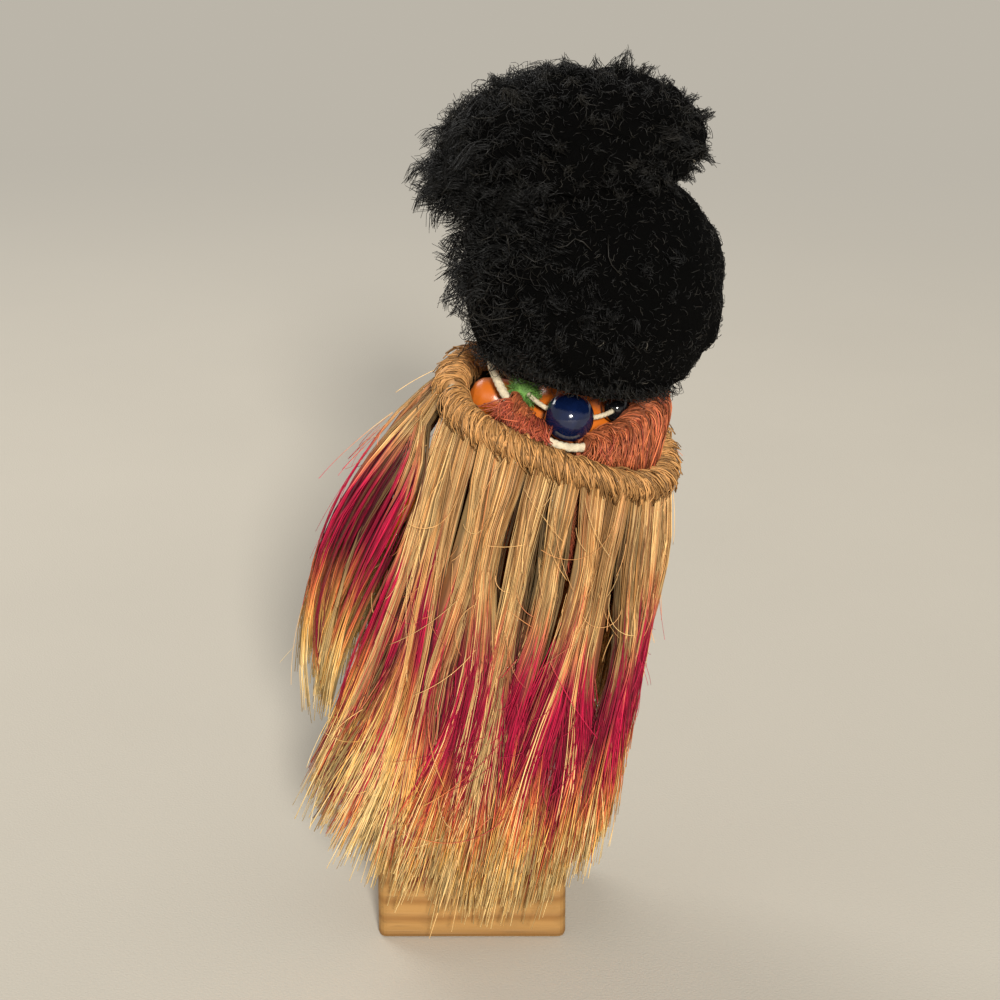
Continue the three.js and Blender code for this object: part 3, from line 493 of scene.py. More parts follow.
class Paint:
    """A material and its nodes."""

    def __init__(self, name):
        self.material = bpy.data.materials.new(name)
        self.material.use_nodes = True
        self.tree = self.material.node_tree
        self.shader = self.tree.nodes["Principled BSDF"]

    def feed(self, socket, value):
        if isinstance(value, Field):
            self.tree.links.new(value.socket, socket)
        elif isinstance(value, (int, float)) and hasattr(socket.default_value, "__len__"):
            socket.default_value = [value] * len(socket.default_value)
        elif hasattr(value, "__len__") and len(value) == 3 and len(socket.default_value) == 4:
            socket.default_value = (*value, 1)
        else:
            socket.default_value = value

    def node(self, kind, settings, values, out=0):
        """Any node: its settings first, then the numbers or links of its sockets, and one of its outputs."""
        made = self.tree.nodes.new(kind)
        for name, value in settings.items():
            if name == "stops":
                while len(made.color_ramp.elements) < len(value):
                    made.color_ramp.elements.new(1)
                for element, (position, colour) in zip(made.color_ramp.elements, value):
                    element.position = position
                    element.color = (*colour, 1)
            else:
                setattr(made, name, value)
        for name, value in values.items():
            self.feed(made.inputs[name], value)
        return Field(self, made.outputs[out])

    def place(self):
        return self.node("ShaderNodeTexCoord", {}, {}, "Object")

    def attribute(self, name):
        return self.node("ShaderNodeAttribute", {"attribute_name": name}, {}, "Fac")

    def noise(self, scale, detail=3.0, stretch=(1, 1, 1), distortion=0.0):
        """Cloudy noise with a number of waves to the metre, drawn out along an axis."""
        place = self.node("ShaderNodeMapping", {}, {"Vector": self.place(), "Scale": stretch})
        values = {"Vector": place, "Scale": scale, "Detail": detail, "Distortion": distortion}
        return self.node("ShaderNodeTexNoise", {}, values, "Fac")

    def vector(self, operation, a, b, out=0):
        return self.node("ShaderNodeVectorMath", {"operation": operation}, {0: a, 1: b}, out)

    def along(self, direction, origin):
        """Distance along a direction from an origin, in metres."""
        return self.vector("DOT_PRODUCT", self.vector("SUBTRACT", self.place(), origin), direction, "Value")

    def away(self, origin):
        """Distance from an origin, in metres."""
        return self.vector("DISTANCE", self.place(), origin, "Value")

    def ramp(self, value, stops):
        return self.node("ShaderNodeValToRGB", {"stops": stops}, {"Fac": value}, "Color")

    def blend(self, share, a, b):
        """Colour a turning into colour b."""
        return self.node("ShaderNodeMix", {"data_type": "RGBA"}, {"Factor": share, 6: a, 7: b}, 2)

    def shade(self, colour, value):
        """A colour made lighter or darker."""
        return self.node("ShaderNodeVectorMath", {"operation": "SCALE"}, {0: colour, "Scale": value})

    def finish(self, colour, roughness, bump=None, depth=0.0, **constants):
        """Joins the colour, the roughness and a bump of some depth in metres to the shader."""
        self.feed(self.shader.inputs["Base Color"], colour)
        self.feed(self.shader.inputs["Roughness"], roughness)
        if bump is not None:
            relief = self.node("ShaderNodeBump", {}, {"Height": bump, "Distance": depth, "Strength": 1.0})
            self.feed(self.shader.inputs["Normal"], relief)
        for name, value in constants.items():
            self.feed(self.shader.inputs[name.replace("_", " ").title().replace("Ior", "IOR")], value)
        return self.material


def linear(colour):
    """A screen colour as linear light."""
    c = np.asarray(colour, float)
    return tuple(np.where(c <= 0.04045, c / 12.92, ((c + 0.055) / 1.055) ** 2.4))


def shaded(colour, factor):
    return tuple(np.array(colour) * factor)


# Materials, with the colours that stay as they are, as linear light

# Grey of stray hairs, also used for painted highlights on the hair.
GREY_STRAY_AND_HIGHLIGHT = (0.36, 0.32, 0.25)
BLUSH = (0.52, 0.09, 0.035)
MOUTH_LINE = (0.05, 0.006, 0.006)
EYE_WHITE = (0.82, 0.80, 0.75)
IRIS_RIM = (0.012, 0.008, 0.006)
PUPIL = (0.004, 0.004, 0.004)
STEEL, STEEL_STAIN = (0.46, 0.45, 0.43), (0.20, 0.18, 0.16)
LEAD, LEAD_STAIN = (0.16, 0.16, 0.17), (0.07, 0.07, 0.075)
RUBBER, PALE_RUBBER = (0.60, 0.55, 0.44), (0.72, 0.68, 0.58)


def fibre_material(name, ramp):
    """Combed fibre: the dye picks the colour along a strand, the tint makes each strand lighter or darker, by
    chance and as painted light and shade.
    """
    paint = Paint(name)
    colour = paint.ramp(paint.attribute("dye"), ramp)
    streak = paint.noise(700, detail=2, stretch=(1, 1, 0.25)) * 0.5 + 0.75
    colour = paint.shade(colour, paint.attribute("tint") * streak)
    roughness = paint.noise(400, detail=2) * 0.25 + 0.42
    return paint.finish(colour, roughness, specular_ior_level=0.3)


def outer_fibre(colours):
    """Undyed shades from brown to straw and peach, then the dye, and the bleached ends."""
    tan, magenta = np.array(linear(colours.tan)), np.array(linear(colours.magenta))
    orange, straw = np.array(linear(colours.orange)), np.array(linear(colours.straw))
    return fibre_material("dyed_fibre", [
        (0.0, tan * [0.60, 0.54, 0.46]),
        (0.09, tan),
        (0.19, mix(tan, straw, 0.55)),
        (0.29, mix(tan, orange, 0.45)),
        (0.38, mix(tan, magenta, 0.5)),
        (0.46, magenta),
        (0.70, magenta * 0.62),
        (0.79, orange),
        (0.87, straw * [0.88, 0.70, 0.42]),
        (0.93, straw * 0.92),
        (1.0, straw),
    ])


def coral_fibre(colours):
    coral = linear(colours.coral)
    return fibre_material("coral_fibre", [
        (0.0, shaded(coral, 1.05)),
        (0.45, coral),
        (0.75, (coral[0] * 0.8, coral[1] * 0.55, coral[2] * 0.75)),
        (1.0, (coral[0] * 0.62, coral[1] * 0.34, coral[2] * 0.55)),
    ])


def cotton_material(colours):
    paint = Paint("twisted_cotton")
    cotton = linear(colours.cotton)
    grime = paint.noise(500, detail=4).step(0.35, 0.75)
    colour = paint.blend(grime, cotton, shaded(cotton, 0.72))
    return paint.finish(colour, 0.9, paint.noise(4200, detail=3), depth=0.0002, specular_ior_level=0.2)


def hair_material(colours):
    """Black hair: the tint turns a stray hair grey, and a little of it lightens other hairs as painted
    highlights.
    """
    paint = Paint("black_hair")
    hair = linear(colours.hair)
    colour = paint.blend(paint.attribute("tint"), hair, GREY_STRAY_AND_HIGHLIGHT)
    return paint.finish(colour, paint.noise(900, detail=2) * 0.2 + 0.36, specular_ior_level=0.3)


def felt_material(colours):
    """Matted hair: fine relief of crossed fibres, with paler specks that stand for both fluff and painted
    highlights.
    """
    paint = Paint("matted_hair")
    hair = linear(colours.hair)
    lint_and_highlight = paint.noise(2600, detail=5, distortion=1.2)
    # Paler specks: fluff on the hair, and painted highlights.
    colour = paint.blend(lint_and_highlight.step(0.62, 0.8), shaded(hair, 0.75), shaded(hair, 2.3))
    relief = lint_and_highlight * 0.6 + paint.noise(900, detail=3, distortion=2.0)
    return paint.finish(colour, 0.95, relief, depth=0.0012, specular_ior_level=0.05)


def plastic_skin(paint, colours):
    """Colour and relief of moulded plastic: slow cloudy change, fine pitting and a seam along the sides."""
    skin = linear(colours.skin)
    cloud = paint.noise(90, detail=3)
    colour = paint.blend(cloud.step(0.3, 0.75), shaded(skin, 0.86), shaded(skin, 1.08))
    pitting = paint.noise(3500, detail=2)
    seam = paint.along((0, 1, 0), (0, 0, 0)).size().step(0.0001, 0.0003)
    return colour, pitting * 0.12 + seam * 0.5


def skin_material(colours):
    paint = Paint("plastic_skin")
    colour, relief = plastic_skin(paint, colours)
    roughness = paint.noise(160, detail=3) * 0.16 + 0.26
    return paint.finish(colour, roughness, relief, depth=0.00025, specular_ior_level=0.5)


# Layout of the painted face, in mm from the middle of the head
CHEEK_OUT, CHEEK_DROP = 10.5, 6.2
LIP_DROP, LIP_PEAK, LIP_END = 9.1, 1.5, 3.6
BROW_RISE, BROW_PEAK, BROW_START, BROW_END = 7.0, 6.2, 2.9, 11.2
LASH_RISE = 1.6


def face_material(colours):
    """Plastic skin with painted lips, brows, lash lines and a soft blush."""
    paint = Paint("painted_face")
    skin, relief = plastic_skin(paint, colours)
    middle = tuple(stand([0, 0, HEAD_MIDDLE]))
    x = paint.along(tuple(LEFT), middle) * (1 / MM)
    z = paint.along(tuple(UP), middle) * (1 / MM)
    front = paint.along((0, 1, 0), middle).step(-0.012, -0.014)
    wide = x.size()
    blush = ((wide - CHEEK_OUT) ** 2 + (z + CHEEK_DROP) ** 2).step(20.0, 2.0) * 0.35
    colour = paint.blend(blush * front, skin, BLUSH)
    bow = (wide - LIP_PEAK) ** 2 * -0.16 + 0.75
    lip_line = z + LIP_DROP
    upper = (lip_line - bow).step(0.16, -0.1) * lip_line.step(-0.25, 0.0)
    lower = lip_line.step(0.05, -0.12) * ((wide * 0.42) ** 2 + (lip_line * 0.72) ** 2).step(1.25, 0.9)
    lips = upper.above(lower) * wide.step(LIP_END, LIP_END - 0.5) * front
    colour = paint.blend(lips, colour, linear(colours.lips))
    colour = paint.blend(lips * lip_line.size().step(0.16, 0.02), colour, MOUTH_LINE)
    arch = z - BROW_RISE + (wide - BROW_PEAK) ** 2 * 0.085
    brow = (arch.size() + wide * 0.03).step(0.72, 0.46) * wide.step(BROW_START, BROW_START + 0.6)
    brow = brow * wide.step(BROW_END, BROW_END - 1.6) * front
    colour = paint.blend(brow * 0.9, colour, linear(colours.hair))
    lashes = ((wide - EYE_SPACING / 2) * 0.62) ** 2 + ((z - (EYE_HEIGHT - HEAD_MIDDLE) - 0.1) * 0.92) ** 2
    line = (lashes - 6.6).size().step(1.5, 0.6) * (z - LASH_RISE).step(0.0, 0.6) * front
    colour = paint.blend(line * 0.85, colour, linear(colours.hair))
    roughness = 0.4 - lips * 0.15
    return paint.finish(colour, roughness, relief, depth=0.0002, specular_ior_level=0.5)


def eye_material(colours, name, middle):
    """A glossy eye: iris and pupil round the forward axis, and a skin-coloured lid over its top."""
    paint = Paint(name)
    ahead = stand(middle - np.array([0, EYE_RADIUS, 0]))
    ring = paint.away(tuple(ahead)) * (1 / MM)
    rays = paint.noise(2200, detail=4) * 0.7 + 0.55
    iris = paint.shade(linear(colours.iris), rays)
    colour = paint.blend(ring.step(2.05, 1.85), EYE_WHITE, iris)
    colour = paint.blend(ring.step(2.2, 2.0) * ring.step(1.65, 1.9), colour, IRIS_RIM)
    colour = paint.blend(ring.step(0.98, 0.86), colour, PUPIL)
    lid_normal = unit(UP + np.array([0, 0.42, 0]))
    lid = paint.along(tuple(lid_normal), tuple(stand(middle))) * (1 / MM)
    colour = paint.blend(lid.step(0.40, 0.52), colour, linear(colours.hair))
    colour = paint.blend(lid.step(0.85, 0.97), colour, shaded(linear(colours.skin), 0.9))
    return paint.finish(colour, 0.08, specular_ior_level=0.6, coat_weight=0.6, coat_roughness=0.03)


def bead_material(name, colour, roughness):
    """Glossy bead: slow streaks in the colour and a few rougher scuffs."""
    paint = Paint(name)
    base = linear(colour)
    cloud = paint.noise(260, detail=3, distortion=1.5).step(0.3, 0.8)
    tone = paint.blend(cloud, shaded(base, 0.7), shaded(base, 1.25))
    scuff = paint.noise(1500, detail=4).step(0.66, 0.74)
    worn = scuff * 0.3 + roughness
    return paint.finish(tone, worn, paint.noise(700, detail=2), depth=0.00006, coat_weight=0.5)


def pine_material(colours):
    """Sanded pine: growth rings cut lengthwise as long bands, fine pores, painted shade on the sides and
    beside them, darker towards the bottom, and smudges.
    """
    paint = Paint("sanded_pine")
    pine = linear(colours.pine)
    warp = paint.noise(38, detail=3, stretch=(0.35, 1, 1))
    bands = ((paint.along((0, 0.55, 1), (0, 0, 0)) * 1500 + warp * 7.5).sine() * 0.5 + 0.5) ** 2
    colour = paint.blend(bands * 0.75, shaded(pine, 1.06), (pine[0] * 0.62, pine[1] * 0.5, pine[2] * 0.36))
    pores = paint.noise(1500, detail=4, stretch=(0.05, 1, 1))
    colour = paint.blend(pores.step(0.58, 0.72) * 0.45, colour, shaded(pine, 0.45))
    # Painted shade on the block's sides and in strips next to them.
    half = BLOCK_SIDE * MM / 2
    beside = paint.along((1, 0, 0), (0, 0, 0)).size().step(half - 0.004, half)
    # Darker towards the bottom.
    low = paint.along((0, 0, 1), (0, 0, 0)).step(0.0045, 0.0005)
    smudge = paint.noise(130, detail=3).step(0.45, 0.7)
    colour = paint.blend((beside * 0.35).above(low * 0.45).above(smudge * 0.3), colour, shaded(pine, 0.48))
    relief = bands * 0.4 + pores
    roughness = paint.noise(300, detail=2) * 0.2 + 0.5
    return paint.finish(colour, roughness, relief, depth=0.00012, specular_ior_level=0.3)


def steel_material():
    paint = Paint("plain_steel")
    stain = paint.noise(420, detail=4).step(0.4, 0.75)
    colour = paint.blend(stain, STEEL, STEEL_STAIN)
    roughness = paint.noise(900, detail=2) * 0.3 + 0.25
    return paint.finish(colour, roughness, paint.noise(1800, detail=2), depth=0.00005, metallic=1.0)


def lead_material():
    paint = Paint("dull_lead")
    stain = paint.noise(500, detail=4).step(0.35, 0.7)
    colour = paint.blend(stain, LEAD, LEAD_STAIN)
    roughness = paint.noise(600, detail=2) * 0.2 + 0.55
    return paint.finish(colour, roughness, paint.noise(1400, detail=3), depth=0.00015, metallic=0.8)


def rubber_material():
    paint = Paint("rubber_cord")
    colour = paint.blend(paint.noise(600, detail=3), RUBBER, PALE_RUBBER)
    return paint.finish(colour, 0.8, paint.noise(2600, detail=2), depth=0.0001)


# Lines that the cords and the necklace follow round the doll.
# A turn is measured from the doll's left (0) through its back (90) to its right (180) and front (270).

class Reach(NamedTuple):
    left: float
    right: float
    back: float
    front: float


def oval(turn, reach, squareness):
    """A flattened ring: |x / reach| to a power and |y / reach| to a power add up to one."""
    c, s = np.cos(turn), np.sin(turn)
    across = np.where(c > 0, reach.left, reach.right)
    deep = np.where(s > 0, reach.back, reach.front)
    radius = (np.abs(c / across) ** squareness + np.abs(s / deep) ** squareness) ** (-1 / squareness)
    return radius * c, radius * s


@dataclass
class Collar:
    """A closed line round the shoulders, and the radius of the fibre wrapped round its cord."""

    reach: Reach
    squareness: float
    rope: float
    height: object

    def point(self, turn):
        x, y = oval(turn, self.reach, self.squareness)
        return np.stack([x, y, self.height(turn, x)], -1)


@dataclass
class Fringe:
    """Fibre that falls from a collar, out by a spread and in to a hem."""

    collar: Collar
    spread: Reach
    hem: Reach
    hem_height: object
    depth: float

    def fall(self, turn, share):
        """Quadratic Bezier curve from the collar, by the spread, to the hem."""
        turn, share = np.broadcast_arrays(turn, share)
        top = self.collar.point(turn)
        low = self.hem_height(turn) + 0 * turn
        hem = np.stack([*oval(turn, self.hem, 5), low], -1)
        out = np.stack([*oval(turn, self.spread, 3), mix(top[..., 2], low, 0.45)], -1)
        return bezier(top, out, hem, share[..., None])

    def sides(self, turn, share):
        """Unit directions along the fall, across it and outwards."""
        step = 0.01
        here = self.fall(turn, share)
        along = unit(self.fall(turn, share + step) - here)
        across = unit(self.fall(turn + step, share) - here)
        return along, across, unit(np.cross(along, across))


# Heights and reaches of the two collars, in mm
CAPE_DROP, CAPE_TILT, CAPE_CLIMB = 5, 0.165, 10
CAPE_BACK, CAPE_FRONT = 20.5, 18.5
LEFT_REACH = ARM_SEAT + ARM_CAP_LENGTH + 1 + ROPE_RADIUS
RIGHT_REACH = ARM_LINE + ARM_RADIUS + 2 * SEAT_GAP + ROPE_RADIUS
INNER_SAG, INNER_TILT = 2.4, 0.1
INNER_SIDE, INNER_BACK, INNER_FRONT = 16.2, 15.5, 15.2


def cape_height(turn, x):
    """The collar drops behind the shoulders, rises to the doll's left and climbs to the front."""
    return SHOULDER_HEIGHT - CAPE_DROP + CAPE_TILT * x + CAPE_CLIMB * ((1 - np.sin(turn)) / 2) ** 2


def inner_height(turn, _):
    """The inner cord lies on the shoulders and sags at the chest and the nape."""
    side = SHOULDER_HEIGHT + ARM_CAP_RADIUS + 2 * SEAT_GAP + INNER_ROPE_RADIUS
    return mix(SHOULDER_HEIGHT - INNER_SAG, side, np.cos(turn) ** 2) + INNER_TILT * np.sin(turn)


CAPE = Collar(Reach(LEFT_REACH, RIGHT_REACH, CAPE_BACK, CAPE_FRONT), 2.4, ROPE_RADIUS, cape_height)
INNER = Collar(Reach(INNER_SIDE, INNER_SIDE, INNER_BACK, INNER_FRONT), 2, INNER_ROPE_RADIUS, inner_height)

# Heights and reaches of the hems, in mm
LEFT_HEM_HEIGHT, BACK_HEM_HEIGHT, BACK_HEM_RISE = 4, -8, 26
SIDE_HEM_HEIGHT = 20.0
INNER_DROP = 28.5
HEM_BACK = BLOCK_SIDE / 2 + HANK_DEPTH / 2 + 2.2
HEM_FRONT = CAPE_FRONT + 4
HEM_LEFT = 35
HEM_RIGHT = RIGHT_REACH + 1.5
LEFT_HAND = ARM_LINE + ARM_SPREAD["left_arm"]


def back_hem(turn):
    """Height of the back hem: lowest behind, a little higher at the doll's left and well up at its right."""
    left = mix(LEFT_HEM_HEIGHT, BACK_HEM_HEIGHT, smooth(turn, deg(16), deg(60)))
    return left + BACK_HEM_RISE * smooth(turn, deg(105), deg(180))


def side_hem(_):
    return SIDE_HEM_HEIGHT


def inner_hem(_):
    return SHOULDER_HEIGHT - INNER_DROP


BACK_FRINGE = Fringe(
    CAPE,
    Reach(left=28, right=RIGHT_REACH + 4, back=HEM_BACK + 1.5, front=HEM_FRONT),
    Reach(left=HEM_LEFT - 1, right=HEM_RIGHT, back=HEM_BACK, front=HEM_FRONT),
    back_hem,
    HANK_DEPTH,
)
LEFT_FRINGE = Fringe(
    CAPE,
    Reach(left=LEFT_HAND + 20, right=RIGHT_REACH, back=HEM_BACK, front=CAPE_FRONT + 11),
    Reach(left=HEM_LEFT, right=RIGHT_REACH, back=HEM_BACK, front=HEM_FRONT),
    side_hem,
    HANK_DEPTH,
)
RIGHT_FRINGE = Fringe(
    CAPE,
    Reach(left=HEM_LEFT, right=RIGHT_REACH + 4, back=HEM_BACK, front=CAPE_FRONT + 8),
    Reach(left=HEM_LEFT, right=HEM_RIGHT, back=HEM_BACK, front=HEM_FRONT),
    side_hem,
    HANK_DEPTH,
)
INNER_FRINGE = Fringe(
    INNER,
    Reach(left=16.2, right=16.2, back=16, front=16.2),
    Reach(left=13, right=13, back=15, front=15.7),
    inner_hem,
    3.0,
)


# Strands of a hank

class Dye(NamedTuple):
    """Shares of the fall where the dye starts and ends, and the share of strands that took none."""

    start: float
    end: float
    bare: float


# Places on the dyed fibre's colour ramp
UNDYED_STRAW, DYE_START, DYE_PALE, DYE_END = 0.19, 0.34, 0.38, 0.80


def dye_along(share, dye, shift, pick, ground):
    """Place on the fibre's colour ramp: a strand's own ground shade, then the dye, then the bleached end."""
    shifted = share + shift
    at = [dye.start - 0.1, dye.start, dye.end, 1.0]
    dyed = np.interp(shifted, at, [0.0, DYE_START, DYE_END, 1.0])
    touched = np.interp(shifted, at, [0.0, DYE_START, DYE_PALE, 0.95])
    plain = mix(ground, UNDYED_STRAW, smooth(shifted, 0.4, 0.9))
    bare = np.where(pick < dye.bare * 0.6, plain, np.maximum(touched, ground))
    return np.where(pick < dye.bare, bare, np.maximum(dyed, ground))


def wander(rng, count, t, size):
    """Slow sideways drift of each strand: three sine waves of its own along the fall."""
    waves = 0
    for number in (0.6, 1.3, 2.2):
        swing = rng.normal(0, size / number, (count, 1))
        waves = waves + swing * np.sin(2 * np.pi * (number * t + rng.uniform(size=(count, 1))))
    return waves * smooth(t, 0.0, 0.3)


class Hang(NamedTuple):
    """How a hank hangs: turn of its fan, growth of its depth, sway in mm and pull to the back panel.

    The last numbers are painted light and shade: they make all its strands, their tops and their ends lighter
    or darker.
    """

    fan: float = 0.0
    bush: float = 0.6
    sway: float = 0.0
    pull: float = 0.0
    # Painted light and shade: of the whole hank, its top and its ends.
    light: float = 0.71
    top: float = 1.0
    ends: float = 1.6


class Wisps(NamedTuple):
    """Wisps of a hank: their places in its oval section, those on its inner side, and each strand's wisp."""

    across: np.ndarray
    deep: np.ndarray
    lining: np.ndarray
    member: np.ndarray


def strand_drift(wisps, t, close, sway, rng):
    """Way of each strand sideways, in mm: waves of its wisp, of its own and of the hank, and splayed ends."""
    number, count = len(wisps.across), len(wisps.member)
    free = mix(0.55, 1.1, smooth(t, 0.3, 1.0))
    drift = wander(rng, number, t, 0.55)[wisps.member] + wander(rng, count, t, 0.24)
    drift = free * drift + wander(rng, 1, t, 0.75)
    drift = drift + rng.normal(0, 0.30, (count, 1)) * close + rng.normal(0, 1.3, (count, 1)) * t**3
    return drift + (rng.normal(0, 0.8, (number, 1)) * t**2)[wisps.member] + sway * np.sin(np.pi * t**1.2)


def strand_lift(wisps, t, close, rng):
    """Way of each strand outwards, in mm: waves of its wisp, a little of its own and a lifted end."""
    number, count = len(wisps.across), len(wisps.member)
    lift = wander(rng, number, t, 0.3)[wisps.member] + rng.normal(0, 0.24, (count, 1)) * close
    return lift + np.abs(rng.normal(0, 0.9, (count, 1))) * t**3 + rng.normal(0, 0.6) * smooth(t, 0.0, 0.3)


def strand_shade(wisps, t, hang, rng):
    """Lightness of each strand: painted shade at the hank's edges and inside it, then random tone, then the
    painted light and shade set by the hank's Hang.
    """
    number, count = len(wisps.across), len(wisps.member)
    # Painted shade: strands near the hank's edges are darker, those inside it darker still, and its inner
    # lining darkest above the hem.
    edge = mix(1.0, 0.62, smooth(np.abs(wisps.across), 0.6, 1.0))
    painted_inner_shade = np.where(wisps.lining, mix(0.22, 0.8, smooth(t, 0.5, 0.95)), 0.7)
    shade = (np.where(wisps.deep > 0, edge, painted_inner_shade) * rng.uniform(0.55, 1.35, (number, 1)))[wisps.member]
    # Painted light and shade: each hank's own lightness, and a changed lightness at its top and at its ends.
    shade = shade * rng.uniform(0.6, 1.4, (count, 1)) * rng.uniform(0.88, 1.12) * hang.light
    shade = shade * mix(hang.top, 1.0, smooth(t, 0.1, 0.3)) * mix(1.0, hang.ends, smooth(t, 0.6, 1.0))
    return np.minimum(shade, 1.4)


def strand_dye(wisps, share, dye, rng):
    """Colour of each strand: its wisp's ground shade and dye, moved along the fall by chance."""
    number, count = len(wisps.across), len(wisps.member)
    shift = rng.normal(0, 0.05, (number, 1))[wisps.member] + rng.normal(0, 0.02, (count, 1))
    ground = rng.uniform(0.02, 0.26, (number, 1))[wisps.member] + rng.normal(0, 0.03, (count, 1))
    pick = rng.uniform(size=(number, 1))[wisps.member]
    return dye_along(share, dye, shift, pick, np.clip(ground, 0, 0.29))


def hank_strands(fringe, first, last, count, dye, radius, rng, hang=Hang()):
    """Strands of a hank, in wisps. A wisp has its own place in the oval section, drift, shade and length.

    Its strands keep close to it, draw together half way down and splay at their ends.
    """
    each, steps = 8, 10
    number = count // each
    count = number * each
    member = np.repeat(np.arange(number), each)
    t = np.linspace(0, 1, steps)[None]
    angle = rng.uniform(0, 2 * np.pi, (number, 1))
    ring = np.sqrt(rng.uniform(0.10, 1.0, (number, 1)))
    across, deep = ring * np.cos(angle), ring * np.sin(angle)
    lining = deep < -0.3
    wisps = Wisps(across, deep, lining, member)
    lock = np.clip(np.round(across / 0.5), -2, 2) * 0.5
    gather = 0.55 * smooth(t, 0.25, 1.0)
    neck = mix(0.86, 1.0, smooth(t, 0.02, 0.22))
    length = 0.905 + rng.normal(0, 0.045, (number, 1)) - 0.10 * np.abs(across - lock)
    length = length[member] + rng.normal(0, 0.028, (count, 1))
    share = t * length
    waist = mix(1.0, rng.uniform(0.52, 0.76), smooth(t, 0.03, 0.24) * ~lining)
    slim = neck * waist * mix(1.0, 1.7, smooth(t, 0.42, 1.0))
    turn = mix(first, last, 0.5) + (last - first) / 2 * (slim * mix(across, lock, gather))[member]
    turn = turn + hang.fan * smooth(t, 0.0, 0.16) * rng.uniform(0.1, 1.0, (number, 1))[member]
    _, sideways, out = fringe.sides(turn, share)
    close = mix(1.0, 0.4, smooth(t, 0.1, 0.6))
    drift = strand_drift(wisps, t, close, hang.sway, rng)
    bush = mix(1.0, hang.bush, smooth(t, 0.1, 0.8))
    thick = (np.where(lining, 0.75, 1.0) * deep * fringe.depth / 2 * neck * bush)[member]
    lift = strand_lift(wisps, t, close, rng)
    path = fringe.fall(turn, share) + out * (thick + lift)[..., None] + sideways * drift[..., None]
    if hang.pull:
        pull = hang.pull * rng.uniform(size=(number, 1))[member] * smooth(t, 0.0, 0.3)
        pull = pull * mix(1.0, 0.7, smooth(t, 0.45, 1.0))
        behind = BACK_FRINGE.fall(turn + deg(20), share)[..., :2]
        path[..., :2] = mix(path[..., :2], behind, pull[..., None])
    shade = strand_shade(wisps, t, hang, rng)
    taper = radius * rng.uniform(0.7, 1.3, (count, 1)) * mix(1.0, 0.75, t)
    return strands(path, taper, shade, strand_dye(wisps, share, dye, rng), rng)


def hank_core(fringe, first, last, dye, rng, pull=0.0):
    """Inside of a hank, which stops the light and is painted much darker as shade: an oval carried down the
    fall and drawn to a point.
    """
    rows, cols = 22, 18
    t = np.linspace(0.0, 0.86, rows)[:, None]
    angle = around(cols)[None]
    slim = mix(0.6, 0.45, smooth(t, 0.02, 0.25)) * mix(1.0, 0.3, smooth(t, 0.45, 0.86)) * mix(1.0, 0.25, pull)
    turn = mix(first, last, 0.5) + (last - first) / 2 * slim * np.cos(angle)
    out = fringe.sides(turn, t + 0 * turn)[2]
    points = fringe.fall(turn, t) + out * (fringe.depth / 2 * 0.8 * slim * np.sin(angle))[..., None]
    # Painted shade: the inside is tinted much darker than the strands round it.
    shade = rng.uniform(0.15, 0.4, (1, cols)) + 0 * t
    tone = np.interp(t + 0 * angle, [0, dye.start, dye.end, 1.0], [0.05, DYE_START, DYE_END, 1.0])
    return skin_over(points, shade, tone)


def rope_wraps(collar, first, last, count, radius, tone, rng):
    """Fibre wound round the cord: arcs that climb inside, pass over the top and slant down outside."""
    t = np.linspace(0, 1, 9)[None]
    begin = rng.uniform(deg(180), deg(270), (count, 1))
    angle = begin - rng.uniform(deg(170), deg(300), (count, 1)) * t
    slant = rng.normal(5.5, 2.0, (count, 1)) / collar.reach.back
    turn = rng.uniform(first, last, (count, 1)) + slant * (t - 0.5)
    turn = np.clip(turn, first - 0.05, last + 0.05)
    away = collar.rope * rng.uniform(0.84, 1.1, (count, 1)) + 0.3 * np.sin(np.pi * t)
    loose = np.where(rng.uniform(size=(count, 1)) < 0.22, rng.uniform(0.3, 1.9, (count, 1)), 0.0)
    away = away + loose * (t**3 + (1 - t) ** 5)
    path = collar.point(turn) + section(angle, away, outward(turn), UPRIGHT)
    shade = rng.uniform(0.25, 1.05, (count, 1))
    return strands(path, radius * rng.uniform(0.9, 1.7, (count, 1)), shade, tone, rng)


def rope_core(collar, first, last, tone, rng):
    """Body of the wrapped rope under its outer strands: a round tube along the cord, tinted darker as painted
    shade.
    """
    rows, cols = 10, 16
    turn = np.linspace(first, last, rows)[:, None]
    angle = around(cols)[None]
    points = collar.point(turn) + section(angle, collar.rope * 0.9, outward(turn), UPRIGHT)
    # Painted shade: the body is tinted darker than the strands wound over it.
    return skin_over(points, rng.uniform(0.4, 0.75, (rows, cols)), tone)


